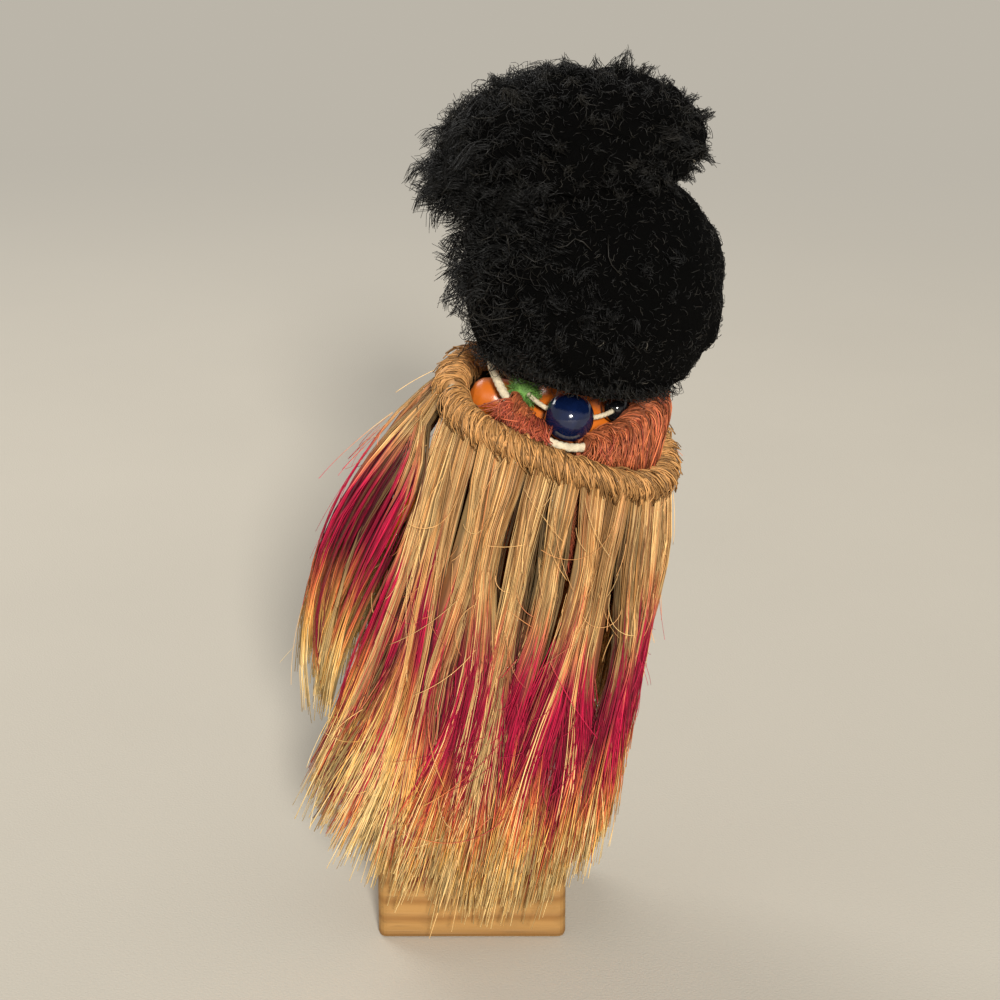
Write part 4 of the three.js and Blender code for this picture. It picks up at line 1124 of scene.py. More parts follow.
def flyaways(fringe, first, last, count, dye, radius, rng):
    """Stray strands: each leaves the hank at some share of its fall, bends away from it and curls over."""
    t = np.linspace(0, 1, 12)[None]
    turn = rng.uniform(first, last, (count, 1))
    share = rng.uniform(0.0, 0.85, (count, 1))
    along, sideways, out = fringe.sides(turn, share)
    start = fringe.fall(turn, share) + out * (fringe.depth / 2)
    reach = 5 + 18 * rng.uniform(0, 1, (count, 1)) ** 2
    heading = rng.normal(0, 0.45, (count, 1)) + rng.normal(0, 0.9, (count, 1)) * t
    ahead = np.cumsum(np.cos(heading), 1) / t.shape[1]
    beside = np.cumsum(np.sin(heading), 1) / t.shape[1]
    rise = rng.uniform(0.0, 0.3, (count, 1)) * t - rng.uniform(0.0, 0.25, (count, 1)) * t**2
    path = start + along * (reach * ahead)[..., None] + sideways * (reach * beside)[..., None]
    path = path + out * (reach * rise + 0.4)[..., None]
    inside = np.clip(share + t * reach / 95, 0, 1.0)
    shade = rng.uniform(0.85, 1.3, (count, 1))
    ground = rng.uniform(0.1, 0.28, (count, 1))
    colour = dye_along(inside, dye, rng.normal(0, 0.05, (count, 1)), rng.uniform(size=(count, 1)), ground)
    return strands(path, radius * rng.uniform(0.35, 0.65, (count, 1)), shade, colour, rng)


def above_floor(points):
    """Leaning points in metres, with any that would reach the floor held just over it."""
    placed = stand(points)
    placed[..., 2] = np.maximum(placed[..., 2], SEAT_GAP * MM)
    return placed


def hank_piece(name, fringe, first, last, count, dye, material, hang, rng):
    """One hank of dyed fibre: its inside painted in shade, its strands, the rope that ties it and a few
    strays.
    """
    fibre = bpy.context.scene.doll_fibre
    radius = fibre.strand / MM
    surface = together([
        hank_core(fringe, first, last, dye, rng, hang.pull),
        rope_core(fringe.collar, first, last, 0.06, rng),
        hank_strands(fringe, first, last, count, dye, radius, rng, hang),
        rope_wraps(fringe.collar, first, last, fibre.wraps, radius, 0.08, rng),
        flyaways(fringe, first, last, fibre.flyaways, dye, radius, rng),
    ])
    return piece(f"{name}_fibre", surface, material, "body", "fibre", name, above_floor)


# Painted light and shade of the left panel: strands lighter than the back's, tops darker and ends less
# lightened.
LEFT_HANG = Hang(bush=2.4, light=0.82, top=0.66, ends=1.1)
HANGS = {
    "left_hank_4": LEFT_HANG._replace(pull=0.2),
    "left_hank_5": LEFT_HANG._replace(pull=0.45),
    "left_hank_6": LEFT_HANG._replace(fan=deg(14), bush=1.6, pull=0.9),
    "back_hank_1": Hang(fan=deg(-7), sway=5.5),
    "back_hank_2": Hang(sway=4.5),
    "back_hank_3": Hang(sway=2.2),
}


def back_dye(share, rng):
    """Dye of a back hank: at the doll's left it ends higher up, and more strands took none."""
    start = 0.38 + rng.normal(0, 0.03)
    end = mix(0.64, 0.82, smooth(share, 0.05, 0.4)) + rng.normal(0, 0.03)
    return Dye(start, end, mix(0.46, 0.12, smooth(share, 0.15, 0.5)))


def side_dye(_, rng):
    """Dye of a side hank, the same from front to back but for a little chance."""
    start = 0.20 + rng.normal(0, 0.02)
    end = 0.65 + rng.normal(0, 0.02)
    return Dye(start, end, 0.06)


class CapeOperator(bpy.types.Operator):
    """Hanks of dyed fibre, each knotted round the outer cord"""

    bl_idname = "doll.outer_cape"
    bl_label = "Outer cape"

    def execute(self, context):
        fibre = context.scene.doll_fibre
        material = outer_fibre(context.scene.doll_colours)
        rng = np.random.default_rng(11)
        panels = (
            ("back_hank", BACK_FRINGE, 12, 16, 188, fibre.back_strands, back_dye, Hang()),
            ("left_hank", LEFT_FRINGE, 6, -82, 4, fibre.side_strands, side_dye, LEFT_HANG),
            ("right_hank", RIGHT_FRINGE, 5, 191, 261, fibre.side_strands, side_dye, Hang()),
        )
        for label, fringe, number, begin, end, count, dye, plain in panels:
            turns = np.radians(np.linspace(begin, end, number + 1))
            for i, (first, last) in enumerate(zip(turns[:-1], turns[1:])):
                name = f"{label}_{i + 1}"
                tone = dye(i / (number - 1), rng)
                hank_piece(name, fringe, first, last, count, tone, material, HANGS.get(name, plain), rng)
        return {"FINISHED"}


def shoulder_fall(first, last, count, radius, tone, rng):
    """Short fibre that leaves the inner rope over its top and comes down on the outer one, as curved arcs."""
    t = np.linspace(0, 1, 9)[None, :, None]
    turn = rng.uniform(first, last, count)
    drift = turn + rng.normal(0, 0.10, count)
    out = outward(turn)
    start = INNER.point(turn) + INNER_ROPE_RADIUS * (0.5 * out + 0.85 * UPRIGHT)
    land = mix(INNER.point(drift), CAPE.point(drift), rng.uniform(0.55, 0.86, (count, 1)))
    land[:, 2] = CAPE.point(drift)[:, 2] + ROPE_RADIUS + rng.uniform(-0.6, 1.2, count)
    crest = start + out * rng.uniform(1.5, 4.0, (count, 1)) + UPRIGHT * rng.uniform(-0.5, 1.2, (count, 1))
    path = bezier(start[:, None], crest[:, None], land[:, None], t)
    path = path + rng.normal(0, 0.35, (count, 1, 3)) * np.sin(np.pi * t)
    thickness = radius * rng.uniform(0.6, 1.3, (count, 1))
    return strands(path, thickness, rng.uniform(0.35, 1.45, (count, 1)), tone, rng)


class InnerFringeOperator(bpy.types.Operator):
    """Coral fibre wrapped round the inner cord over the shoulders, and falling from it"""

    bl_idname = "doll.inner_fringe"
    bl_label = "Inner fringe"

    def execute(self, context):
        fibre = context.scene.doll_fibre
        radius = fibre.strand / MM
        material = coral_fibre(context.scene.doll_colours)
        rng = np.random.default_rng(23)
        panels = (
            ("inner_fringe_front", 232, 308, 5),
            ("inner_fringe_right", 104, 140, 3),
            ("inner_fringe_left", 46, 60, 2),
        )
        for name, begin, end, locks in panels:
            turns = np.radians(np.linspace(begin, end, locks + 1))
            dye = Dye(0.3, 0.9, 0.0)
            surfaces = []
            for first, last in zip(turns[:-1], turns[1:]):
                surfaces.append(hank_core(INNER_FRINGE, first, last, dye, rng))
                surfaces.append(rope_core(INNER, first, last, 0.3, rng))
                count = fibre.inner_strands
                surfaces.append(hank_strands(INNER_FRINGE, first, last, count, dye, radius, rng))
                tone = rng.uniform(0.0, 0.6, (fibre.wraps, 1))
                surfaces.append(rope_wraps(INNER, first, last, fibre.wraps, radius, tone, rng))
            piece(f"{name}_fibre", together(surfaces), material, "body", "coral_fibre", name)
        # The last number of each wrap is painted shade: the lowest place of its strands on the coral ramp,
        # which runs to deeper colour, so the doll's left comes out darker.
        wraps = (("inner_wrap_left", 62, 76, 46, 76, 0.6), ("inner_wrap_right", 142, 230, 106, 214, 0.0))
        for name, begin, end, fall_from, fall_to, painted_shade in wraps:
            first, last = deg(begin), deg(end)
            count = round(fibre.wraps * 5 * (last - first))
            tone = rng.uniform(painted_shade, 0.9, (count, 1))
            falling = deg(fall_from), deg(fall_to)
            number = round(360 * (falling[1] - falling[0]))
            surface = together([
                rope_core(INNER, first, last, 0.4, rng),
                rope_wraps(INNER, first, last, count, radius, tone, rng),
                shoulder_fall(*falling, number, radius, rng.uniform(painted_shade, 0.8, (number, 1)), rng),
            ])
            piece(f"{name}_fibre", surface, material, "body", "coral_fibre", name)
        return {"FINISHED"}


# Cords, necklace and beads

def twisted(points, radius, plies, lays):
    """A closed twisted cord: a round section with a groove between plies, turning along the line."""
    rows, cols = len(points), 14
    along = unit(np.roll(points, -1, 0) - np.roll(points, 1, 0))
    side = unit(np.cross(along, UPRIGHT))
    top = np.cross(side, along)
    angle = around(cols)[None]
    twist = np.linspace(0, 2 * np.pi * lays, rows, endpoint=False)[:, None]
    size = radius * (0.80 + 0.20 * np.abs(np.cos(plies / 2 * (angle - twist))) ** 0.7)
    return closed_loop(points[:, None] + section(angle, size, side[:, None], top[:, None]))


FLOCK_LENGTH, FLOCK_RADIUS = 0.75, 0.05
NECKLACE_SLACK = 2.4
NECKLACE_SAG = 2.6
BLACK_GLAZE = (0.06, 0.06, 0.07)
TIE_SIZE = np.array([0.72, 1.15, 0.78])
NECKLACE_REACH = NECK_RADIUS + BEAD_RADIUS + NECKLACE_SLACK
NECKLACE_BACK = NECK_RADIUS + LARGE_BEAD_RADIUS + NECKLACE_SLACK * 0.8
STRING_HEIGHT = SHOULDER_HEIGHT + ARM_CAP_RADIUS + STRING_RADIUS + 2 * SEAT_GAP


def necklace(turn):
    """The bead string: an oval round the neck that sags in front and behind."""
    c, s = np.cos(turn), np.sin(turn)
    deep = np.where(s > 0, NECKLACE_BACK, NECKLACE_REACH)
    return np.stack([NECKLACE_REACH * c, deep * s, STRING_HEIGHT - NECKLACE_SAG * s * s], -1)


class CordsOperator(bpy.types.Operator):
    """The two twisted cords of the cape, the knot that closes it and the bead string"""

    bl_idname = "doll.cords"
    bl_label = "Cords"

    def execute(self, context):
        material = cotton_material(context.scene.doll_colours)
        turn = around(560)
        cords = (
            ("cape_cord", CAPE.point(turn), CORD_RADIUS, 3, 34),
            ("inner_cord", INNER.point(turn), INNER_CORD_RADIUS, 3, 30),
            ("necklace_string", necklace(turn), STRING_RADIUS, 2, 40),
        )
        for name, line, radius, plies, lays in cords:
            piece(f"{name}_twist", twisted(line, radius, plies, lays), material, "body", "cotton", name)
        middle = CAPE.point(np.array(deg(269.5)))
        t = around(260)
        trefoil = np.stack([np.sin(t) + 2 * np.sin(2 * t), np.sin(3 * t), np.cos(t) - 2 * np.cos(2 * t)], -1)
        knot = twisted(middle + trefoil * TIE_SIZE, CORD_RADIUS, plies=3, lays=12)
        piece("cape_knot_tie", knot, material, "body", "cotton", "cape_knot")
        return {"FINISHED"}


def bead_surface(middle, along, radius, bore):
    """A threaded bead: an arc from rim to rim of its bore, spun round the string, and the bore's wall."""
    rows, cols = 30, 40
    opening = math.asin(bore / radius)
    polar = np.linspace(opening, np.pi - opening, rows)[:, None]
    across = np.concatenate([radius * np.sin(polar), np.full((4, 1), bore)])
    wall = np.linspace(1, -1, 6)[1:-1, None] * radius * math.cos(opening)
    ahead = np.concatenate([-radius * np.cos(polar), wall])
    angle = around(cols)[None]
    side = unit(np.cross(along, UPRIGHT))
    top = np.cross(side, along)
    points = middle + (ahead + 0 * angle)[..., None] * along
    return closed_loop(points + section(angle, across, side, top))


def flock(middle, radius, count, rng):
    """Short upright fibres over a ball."""
    normal = unit(rng.normal(size=(count, 1, 3)))
    t = np.linspace(0, 1, 4)[None, :, None]
    lean = rng.normal(0, 0.45, (count, 1, 3))
    path = middle + normal * (radius + FLOCK_LENGTH * t) + lean * t**1.5
    return strands(path, FLOCK_RADIUS, rng.uniform(0.7, 1.3, (count, 1)), 0.0, rng)


class NecklaceOperator(bpy.types.Operator):
    """Threaded beads: a large blue one at the nape, black ones and flocked green ones"""

    bl_idname = "doll.necklace"
    bl_label = "Necklace"

    def execute(self, context):
        colours = context.scene.doll_colours
        rng = np.random.default_rng(5)
        finishes = (
            ("blue_bead", bead_material("blue_glaze", colours.blue, roughness=0.1)),
            ("black_bead", bead_material("black_glaze", BLACK_GLAZE, roughness=0.1)),
            ("green_bead", bead_material("green_flock", colours.green, roughness=0.75)),
        )
        fine = np.linspace(0, 2 * np.pi, 4001)
        line = necklace(fine + np.pi / 2)
        length = np.concatenate([[0], np.cumsum(np.linalg.norm(np.diff(line, axis=0), axis=1))])
        beads, hairs = 6, 900
        for i in range(beads):
            turn = np.interp(i / beads * length[-1], length, fine) + np.pi / 2
            middle = necklace(np.array(turn))
            ahead, behind = necklace(np.array([turn + 0.01, turn - 0.01]))
            along = unit(ahead - behind)
            radius = BEAD_RADIUS if i else LARGE_BEAD_RADIUS
            slot, material = finishes[i % 3]
            surfaces = [bead_surface(middle, along, radius, STRING_RADIUS + 0.5)]
            if slot == "green_bead":
                surfaces.append(flock(middle, radius * 0.98, hairs, rng))
            name = f"bead_{i + 1}"
            piece(f"{name}_threaded", together(surfaces), material, "body", slot, name)
        return {"FINISHED"}


# Skin: body, arms, head and eyes

def rings(stations, count, cols, squareness=2.3, place=(0, 0)):
    """Upright form through stations of height, half width and half depth, joined by cubic splines."""
    known = np.array(stations, float)
    at = np.linspace(0, len(known) - 1, count)
    k = np.clip(at.astype(int), 0, len(known) - 2)
    f = (at - k)[:, None]
    before, after = known[np.maximum(k - 1, 0)], known[np.minimum(k + 2, len(known) - 1)]
    a, b = known[k], known[k + 1]
    m, n = (b - before) / 2, (after - a) / 2
    points = (2 * f**3 - 3 * f**2 + 1) * a + (f**3 - 2 * f**2 + f) * m
    points = points + (3 * f**2 - 2 * f**3) * b + (f**3 - f**2) * n
    height, wide, deep = points.T[..., None]
    angle = around(cols)[None]
    c, s = np.cos(angle), np.sin(angle)
    size = (np.abs(c) ** squareness + np.abs(s) ** squareness) ** (-1 / squareness)
    return np.stack([place[0] + wide * size * c, place[1] + deep * size * s, height + 0 * c], -1)


def torso():
    shoulder = SHOULDER_HEIGHT
    stations = [
        (44, 6, 4.75), (49, 10.8, 8.4), (53, 12, 9.5), (66, 9.75, 8.25), (79, 10.2, 8.5),
        (shoulder, 10.5, 7.9), (shoulder + 2.5, 8.5, 6.25), (shoulder + 4.7, NECK_RADIUS, NECK_RADIUS),
        (NECK_TOP, NECK_RADIUS, NECK_RADIUS),
    ]
    return skin_over(rings(stations, 90, 64))


def leg(x):
    stations = [
        (0.5, 3.2, 3.6), (8, 3.4, 3.7), (19, 4.5, 5.0), (26, 4.5, 4.7), (41, 5.7, 6.5), (51, 5.3, 6.7),
    ]
    return skin_over(rings(stations, 60, 40, place=(x, 0)))


def foot(x):
    """A foot from heel to toes: rings across it whose width and height follow two smooth curves."""
    t = np.linspace(0, 1, 40)[:, None]
    y = mix(HEEL, TOES, t)
    wide_at, width = [0, 0.08, 0.2, 0.45, 0.72, 0.92, 1], [0.3, 0.62, 0.82, 0.86, 1.0, 0.72, 0.3]
    wide = FOOT_HALF_WIDTH * np.interp(t, wide_at, width)
    top = FOOT_HEIGHT * np.interp(t, [0, 0.1, 0.3, 0.55, 0.8, 1], [0.55, 0.9, 1.0, 0.82, 0.55, 0.3])
    base = FOOT_BASE
    angle = around(32)[None]
    toes = 1 - 0.05 * smooth(t, 0.85, 0.95) * np.abs(np.sin(2.5 * np.pi * np.cos(angle)))
    height = mix(base, top, 0.5) + (top - base) / 2 * np.sin(angle) * toes
    return skin_over(np.stack([x + wide * np.cos(angle), y + 0 * angle, height], -1))


class BodyOperator(bpy.types.Operator):
    """Plastic body: trunk, legs and feet in one moulded skin, flat under the soles"""

    bl_idname = "doll.body"
    bl_label = "Body"

    def execute(self, context):
        material = skin_material(context.scene.doll_colours)
        sides = (LEG_PLACE, -LEG_PLACE)
        forms = [torso(), *(leg(x) for x in sides), *(foot(x) for x in sides)]
        made = fused("body_skin", forms, voxel=0.58, passes=5)
        places = np.empty(len(made.data.vertices) * 3, np.float32)
        made.data.vertices.foreach_get("co", places)
        places[2::3] = np.maximum(places[2::3], (BLOCK_HEIGHT + SEAT_GAP) * MM)
        made.data.vertices.foreach_set("co", places)
        made.data.update()
        dress(made, material, "body", ["body_front", "body_back"], "skin")
        return {"FINISHED"}


def arm_forms(side, spread):
    """A round shoulder end, a tapering arm and a flat hand whose edge is drawn into fingers and a thumb."""
    t = np.linspace(0, 1, 70)[:, None]
    bends = [0, 0.28, 0.55, 0.78, 1]
    x = side * (ARM_LINE + spread * np.interp(t, bends, [0, 0.42, 0.78, 0.92, 1]))
    y = np.interp(t, bends, [0, 0.6, -1.0, -2.0, -2.8])
    z = SHOULDER_HEIGHT - ARM_DROP * np.interp(t, bends, [0, 0.38, 0.7, 0.84, 1])
    middle = np.stack([x, y, z], -1)
    along = unit(np.gradient(middle[:, 0], axis=0))
    out = unit(np.cross([0, 1.0, 0], along))
    deep = np.cross(along, out)
    bare = np.interp(t, [0, 0.42, 0.68, 1], [ARM_RADIUS, 2.9, 2.1, 2.1])
    hand = smooth(t, 0.68, 0.80)
    tip = 1 - 0.8 * smooth(t, 0.93, 1.0)
    thick = mix(bare, 1.7, hand) * tip
    wide = mix(bare, 3.2, hand) * mix(1.0, tip, 0.6)
    angle = around(48)[None]
    fingers = 1 - 0.22 * smooth(t, 0.82, 0.9) * np.abs(np.cos(2 * np.pi * np.sin(angle))) ** 6
    points = middle + (thick * fingers * np.cos(angle))[..., None] * out[:, None]
    points = points + (wide * np.sin(angle))[..., None] * deep[:, None]
    u = np.linspace(0, 1, 30)[:, None]
    dome_at, dome_size = [0, 0.02, 0.06, 0.45, 0.75, 0.9, 1], [0.8, 0.9, 1, 1, 0.86, 0.6, 0.05]
    dome = ARM_CAP_RADIUS * np.interp(u, dome_at, dome_size)
    cap = np.stack([
        side * (ARM_SEAT + ARM_CAP_LENGTH * u) + 0 * angle,
        dome * np.cos(angle),
        SHOULDER_HEIGHT + dome * np.sin(angle),
    ], -1)
    v = np.linspace(0, 1, 16)[:, None]
    palm, knuckle = 52, 60  # rings of the arm beside the thumb's root and its end
    root = middle[palm, 0] + [0, -1.6, 0]
    end = middle[knuckle, 0] + [0, -4.2, 0]
    core = root + (end - root) * v[..., None]
    size = np.sqrt(np.maximum(1 - (2 * v - 1) ** 4, 0.02))
    thumb = core + section(angle, size, out[palm], deep[palm])
    return [skin_over(points), skin_over(cap), skin_over(thumb)]


class ArmsOperator(bpy.types.Operator):
    """The two plastic arms"""

    bl_idname = "doll.arms"
    bl_label = "Arms"

    def execute(self, context):
        material = skin_material(context.scene.doll_colours)
        for name, side in (("left_arm", 1), ("right_arm", -1)):
            forms = arm_forms(side, ARM_SPREAD[name])
            made = fused(f"{name}_skin", forms, voxel=0.32, passes=4)
            dress(made, material, name, [name], "skin")
        return {"FINISHED"}


def swell(direction, place, size, height):
    """A round bump on a ball: a bell curve of the distance between two directions."""
    gap = direction - np.array(place)
    return height * np.exp(-(gap * gap).sum(-1) / (2 * size * size))


# Bumps and hollows of the face: a twin or not, a direction from the head's middle, a spread, a height in mm
FEATURES = {
    "cheek": (True, (0.5, -0.78, -0.36), 0.24, 1.1),
    "chin": (False, (0, -0.86, -0.62), 0.17, 1.5),
    "nose tip": (False, (0, -0.98, -0.16), 0.075, 1.9),
    "nose bridge": (False, (0, -0.99, -0.02), 0.075, 0.7),
    "nostril": (True, (0.06, -0.97, -0.20), 0.04, 0.55),
    "mouth": (False, (0, -0.92, -0.42), 0.12, 0.6),
    "upper lip": (True, (0.05, -0.90, -0.405), 0.045, 0.45),
    "lower lip": (False, (0, -0.87, -0.49), 0.06, 0.5),
    "lip line": (False, (0, -0.895, -0.445), 0.028, -0.35),
    "forehead": (False, (0, -0.9, 0.42), 0.3, 0.5),
    "eye socket": (True, (0.36, -0.93, 0.07), 0.13, -0.7),
}


def face_relief(direction):
    """Height of the face off the ball of the head, in mm: the features added up."""
    mirrored = np.concatenate([np.abs(direction[..., :1]), direction[..., 1:]], -1)
    relief = 0
    for twin, place, size, height in FEATURES.values():
        relief = relief + swell(mirrored if twin else direction, place, size, height)
    return relief


def face_shell():
    """Front half of the head: a ball with its relief, spun from the nose to the seam, and its inner wall."""
    rows, cols = 76, 168
    polar = np.linspace(0.004, np.pi / 2 + 0.13 / HEAD_RADIUS, rows)[:, None]
    turn = around(cols)[None]
    direction = np.stack(
        [np.sin(polar) * np.cos(turn), -np.cos(polar) + 0 * turn, np.sin(polar) * np.sin(turn)], -1
    )
    flat = [1, HEAD_DEPTH, 1]
    outer = direction * (HEAD_RADIUS + face_relief(direction))[..., None] * flat
    inner = direction[::-1] * (HEAD_RADIUS - HEAD_WALL) * flat
    floor = HEAD_SEAT - HEAD_MIDDLE
    outer[..., 2] = np.maximum(outer[..., 2], floor)
    inner[..., 2] = np.maximum(inner[..., 2], floor + HEAD_WALL)
    return skin_over(np.concatenate([outer, inner]) + [0, 0, HEAD_MIDDLE])


def almond(side):
    """Closed cutter for an eye opening: an almond outline carried back into the head."""
    t = around(64)[None]
    x = OPENING_HALF_WIDTH * np.cos(t)
    half = np.where(np.sin(t) > 0, OPENING_ABOVE, OPENING_BELOW)
    z = half * np.sin(t) * (1 - 0.18 * np.cos(t) ** 2) + 0.25 * np.cos(t)
    y = np.array([-EYE_DEPTH - 12.0, -EYE_DEPTH + 0.5])[:, None]
    place = np.array([side * EYE_SPACING / 2, 0, EYE_HEIGHT])
    return skin_over(np.stack([side * x + 0 * y, y + 0 * x, z + 0 * y], -1) + place)


class HeadOperator(bpy.types.Operator):
    """The face half of the head with its eye openings, and the back half under the wig"""

    bl_idname = "doll.head"
    bl_label = "Head"

    def execute(self, context):
        colours = context.scene.doll_colours
        made = add_object("head_front_skin", mesh_of("head_front", face_shell()))
        cutters = [add_object(f"eye_cutter_{side}", mesh_of("eye_cutter", almond(side))) for side in (1, -1)]
        for cutter in cutters:
            cut = made.modifiers.new("eye opening", "BOOLEAN")
            cut.operation = "DIFFERENCE"
            cut.solver = "EXACT"
            cut.object = cutter
        applied(made)
        for cutter in cutters:
            bpy.data.objects.remove(cutter)
        made.data.polygons.foreach_set("use_smooth", np.ones(len(made.data.polygons), bool))
        made.data.set_sharp_from_angle(angle=deg(45))
        dress(made, face_material(colours), "head", ["head_front"], "skin")
        paint_node("head_back", skin_material(colours))
        return {"FINISHED"}


def paint_node(name, material):
    """A solid that keeps its shape gets a better material."""
    slots = frame["nodes"][name].data.materials
    slots.clear()
    slots.append(material)


def lashes(middle, rng):
    """Lashes of a sleep eye: short hairs in a row along the lid's edge, curling up."""
    count = 46
    spread = np.linspace(-0.72, 0.72, count)[:, None]
    root = EYE_RADIUS * np.stack([np.sin(spread), -np.cos(spread) * 0.86, 0 * spread + 0.50], -1)
    root = unit(root) * (EYE_RADIUS - 0.05)
    t = np.linspace(0, 1, 6)[None, :, None]
    away = unit(root * [1.0, 1, 0.2])
    length = rng.uniform(1.5, 2.0, (count, 1, 1))
    path = middle + root + length * (away * t + UPRIGHT * 0.55 * t**2)
    taper = np.linspace(0.07, 0.02, 6)[None]
    return strands(path, taper, 0.0, 0.0, rng)


class EyesOperator(bpy.types.Operator):
    """Sleep eyes with lids and lashes, and the wire, weight and bracket behind them"""

    bl_idname = "doll.eyes"
    bl_label = "Eyes"

    def execute(self, context):
        colours = context.scene.doll_colours
        rng = np.random.default_rng(3)
        lash = hair_material(colours)
        for name, side in (("left_eye", 1), ("right_eye", -1)):
            middle = np.array([side * EYE_SPACING / 2, -EYE_DEPTH, EYE_HEIGHT])
            ball = skin_over(middle + EYE_RADIUS * ball_directions(rows=48, cols=64))
            piece(f"{name}_ball", ball, eye_material(colours, f"{name}_paint", middle), "eyes", "eye", name)
            piece(f"{name}_lashes", lashes(middle, rng), lash, "eyes", "hair")
        steel = steel_material()
        for name in ("eye_rocker", "eye_bracket", "neck_spool", "left_foot_nail", "right_foot_nail"):
            paint_node(name, steel)
        paint_node("eye_weight", lead_material())
        paint_node("arm_elastic", rubber_material())
        return {"FINISHED"}


# Wig

HEAD = np.array([0, 0, HEAD_MIDDLE])
TUFT_DEPTH = 2.4
KNOT_SIZE = np.array([27.0, 21.5, 16.5]) - TUFT_DEPTH
KNOT_PLACE = np.array([10.0, 0.5, 25.6])
KNOT_TILT = deg(18)
CAP_AXIS = unit(np.array([0, 0.8, 0.6]))
CAP_INSIDE = HEAD_RADIUS + 0.2
HAIR_AXIS = unit(np.array([0, 0.9, 0.42]))
HAIR_INSIDE = CAP_RADIUS + SEAT_GAP
HAIR_SHIFT = np.array([0.6, 0.5, -1])
LOCK_HAIR = 1.3  # radius of a hair in a lock, to that of a short hair


def waves(d):
    """Slow lumps over a ball, from products of sine waves."""
    x, y, z = d[..., 0], d[..., 1], d[..., 2]
    return np.sin(5 * x + 2 * z) * np.cos(4 * y - x) + np.sin(6 * z + 3 * y) * np.cos(3 * x)


def crinkle(d, size):
    """Small irregular lumps: sine waves at three finer scales, each bent by the one before."""
    x, y, z = d[..., 0], d[..., 1], d[..., 2]
    a = np.sin(11 * x + 7 * y + 2 * np.sin(9 * z))
    b = np.sin(17 * z - 9 * x + 2 * a)
    c = np.sin(29 * y + 13 * x - 11 * z + 2 * b)
    return size * (0.5 * a + 0.35 * b + 0.25 * c)


def knot_point(d):
    """Surface of the top knot in a direction from its middle: a tilted lumpy oval."""
    p = d * KNOT_SIZE * (1 + 0.035 * waves(d))[..., None] + d * crinkle(d, 0.9)[..., None]
    x = p[..., 0] * math.cos(KNOT_TILT) + p[..., 2] * math.sin(KNOT_TILT)
    z = p[..., 2] * math.cos(KNOT_TILT) - p[..., 0] * math.sin(KNOT_TILT)
    return np.stack([x, p[..., 1], z], -1) + KNOT_PLACE + HEAD


def mass_point(d):
    """Surface of the hair on the head in a direction from its middle, thinning out to its front edge."""
    behind = (d * HAIR_RADIUS - [0, 1, -1]) @ HAIR_AXIS
    full = HAIR_RADIUS * (1 + 0.012 * waves(d)) + crinkle(d, 0.45)
    flap = smooth(-d[..., 0], 0.35, 0.75) * smooth(d[..., 2], -0.24, -0.2)
    cover = smooth(behind, -0.5, 2.6)
    p = d * mix(HAIR_INSIDE, full + 0.8 * flap, cover)[..., None] + cover[..., None] * HAIR_SHIFT
    low = HAIR_BOTTOM - HEAD_MIDDLE - 0.2
    p[..., 2] = np.maximum(p[..., 2], low + 0.3 * crinkle(d, 1.0))
    return p + HEAD


def cap_point(d):
    """Surface of the felt cap, rounded off at its edge."""
    behind = (d * CAP_RADIUS - [0, -2, -1.6]) @ CAP_AXIS
    size = mix(CAP_INSIDE + 0.5, CAP_RADIUS + crinkle(d, 0.12), smooth(behind, -0.6, 0.6))
    return flat_under(d * size[..., None], HAIR_BOTTOM)


def flat_under(p, bottom):
    """Points round the middle of the head, in place, cut off flat at a height."""
    placed = p + HEAD
    placed[..., 2] = np.maximum(placed[..., 2], bottom)
    return placed


def bowl(point, inside, axis, edge, rows, cols):
    """A bowl of hair: directions up to an angle from its axis, over its surface and back along its inside."""
    polar = np.linspace(0.01, edge, rows)[:, None, None]
    turn = around(cols)[None, :, None]
    a = unit(np.cross(axis, [1.0, 0, 0]))
    d = np.cos(polar) * axis + np.sin(polar) * (np.cos(turn) * a + np.sin(turn) * np.cross(axis, a))
    inner = flat_under(d[::-1] * inside, HAIR_BOTTOM + SEAT_GAP)
    return skin_over(np.concatenate([point(d), inner]), tint=0.0)


def outside(point, d):
    """Unit normals of a mass of hair, from two small steps over its surface."""
    a = unit(np.cross(d, [0.31, 0.52, 0.79]))
    b = np.cross(d, a)
    step = 0.02
    here = point(d)
    return unit(np.cross(point(unit(d + step * a)) - here, point(unit(d + step * b)) - here))


def fuzz(point, d, length, lift, curl, radius, rng, grey=0.0):
    """Short bent hairs on a mass: each runs along the surface, arches off it and winds round its own line."""
    count = len(d)
    t = np.linspace(0, 1, 6)[None, :, None]
    normal = outside(point, d)[:, None]
    start = point(d)[:, None]
    flow = unit(np.cross(normal, rng.normal(size=(count, 1, 3))))
    other = np.cross(normal, flow)
    size = np.asarray(length).reshape(-1, 1, 1) * rng.uniform(0.5, 1.3, (count, 1, 1))
    rise = np.asarray(lift).reshape(-1, 1, 1) * rng.uniform(0.2, 1.3, (count, 1, 1))
    phase = rng.uniform(0, 2 * np.pi, (count, 1, 1)) + 2 * np.pi * t * rng.uniform(0.5, 1.6, (count, 1, 1))
    wind = np.asarray(curl).reshape(-1, 1, 1)
    path = start + flow * size * (t - 0.5) + normal * (rise * np.sin(np.pi * t) ** 0.8)
    path = path + wind * (np.cos(phase) * other + np.sin(phase) * normal * 0.7)
    # Painted highlights: a faint grey in some hairs; the share given by grey are stray grey hairs.
    tint = 0.06 * rng.uniform(0, 1, (count, 1)) ** 3
    tint = np.where(rng.uniform(size=(count, 1)) < grey, rng.uniform(0.2, 0.7, (count, 1)), tint)
    return strands(path, radius * rng.uniform(0.7, 1.4, (count, 1)), tint, 0.0, rng)


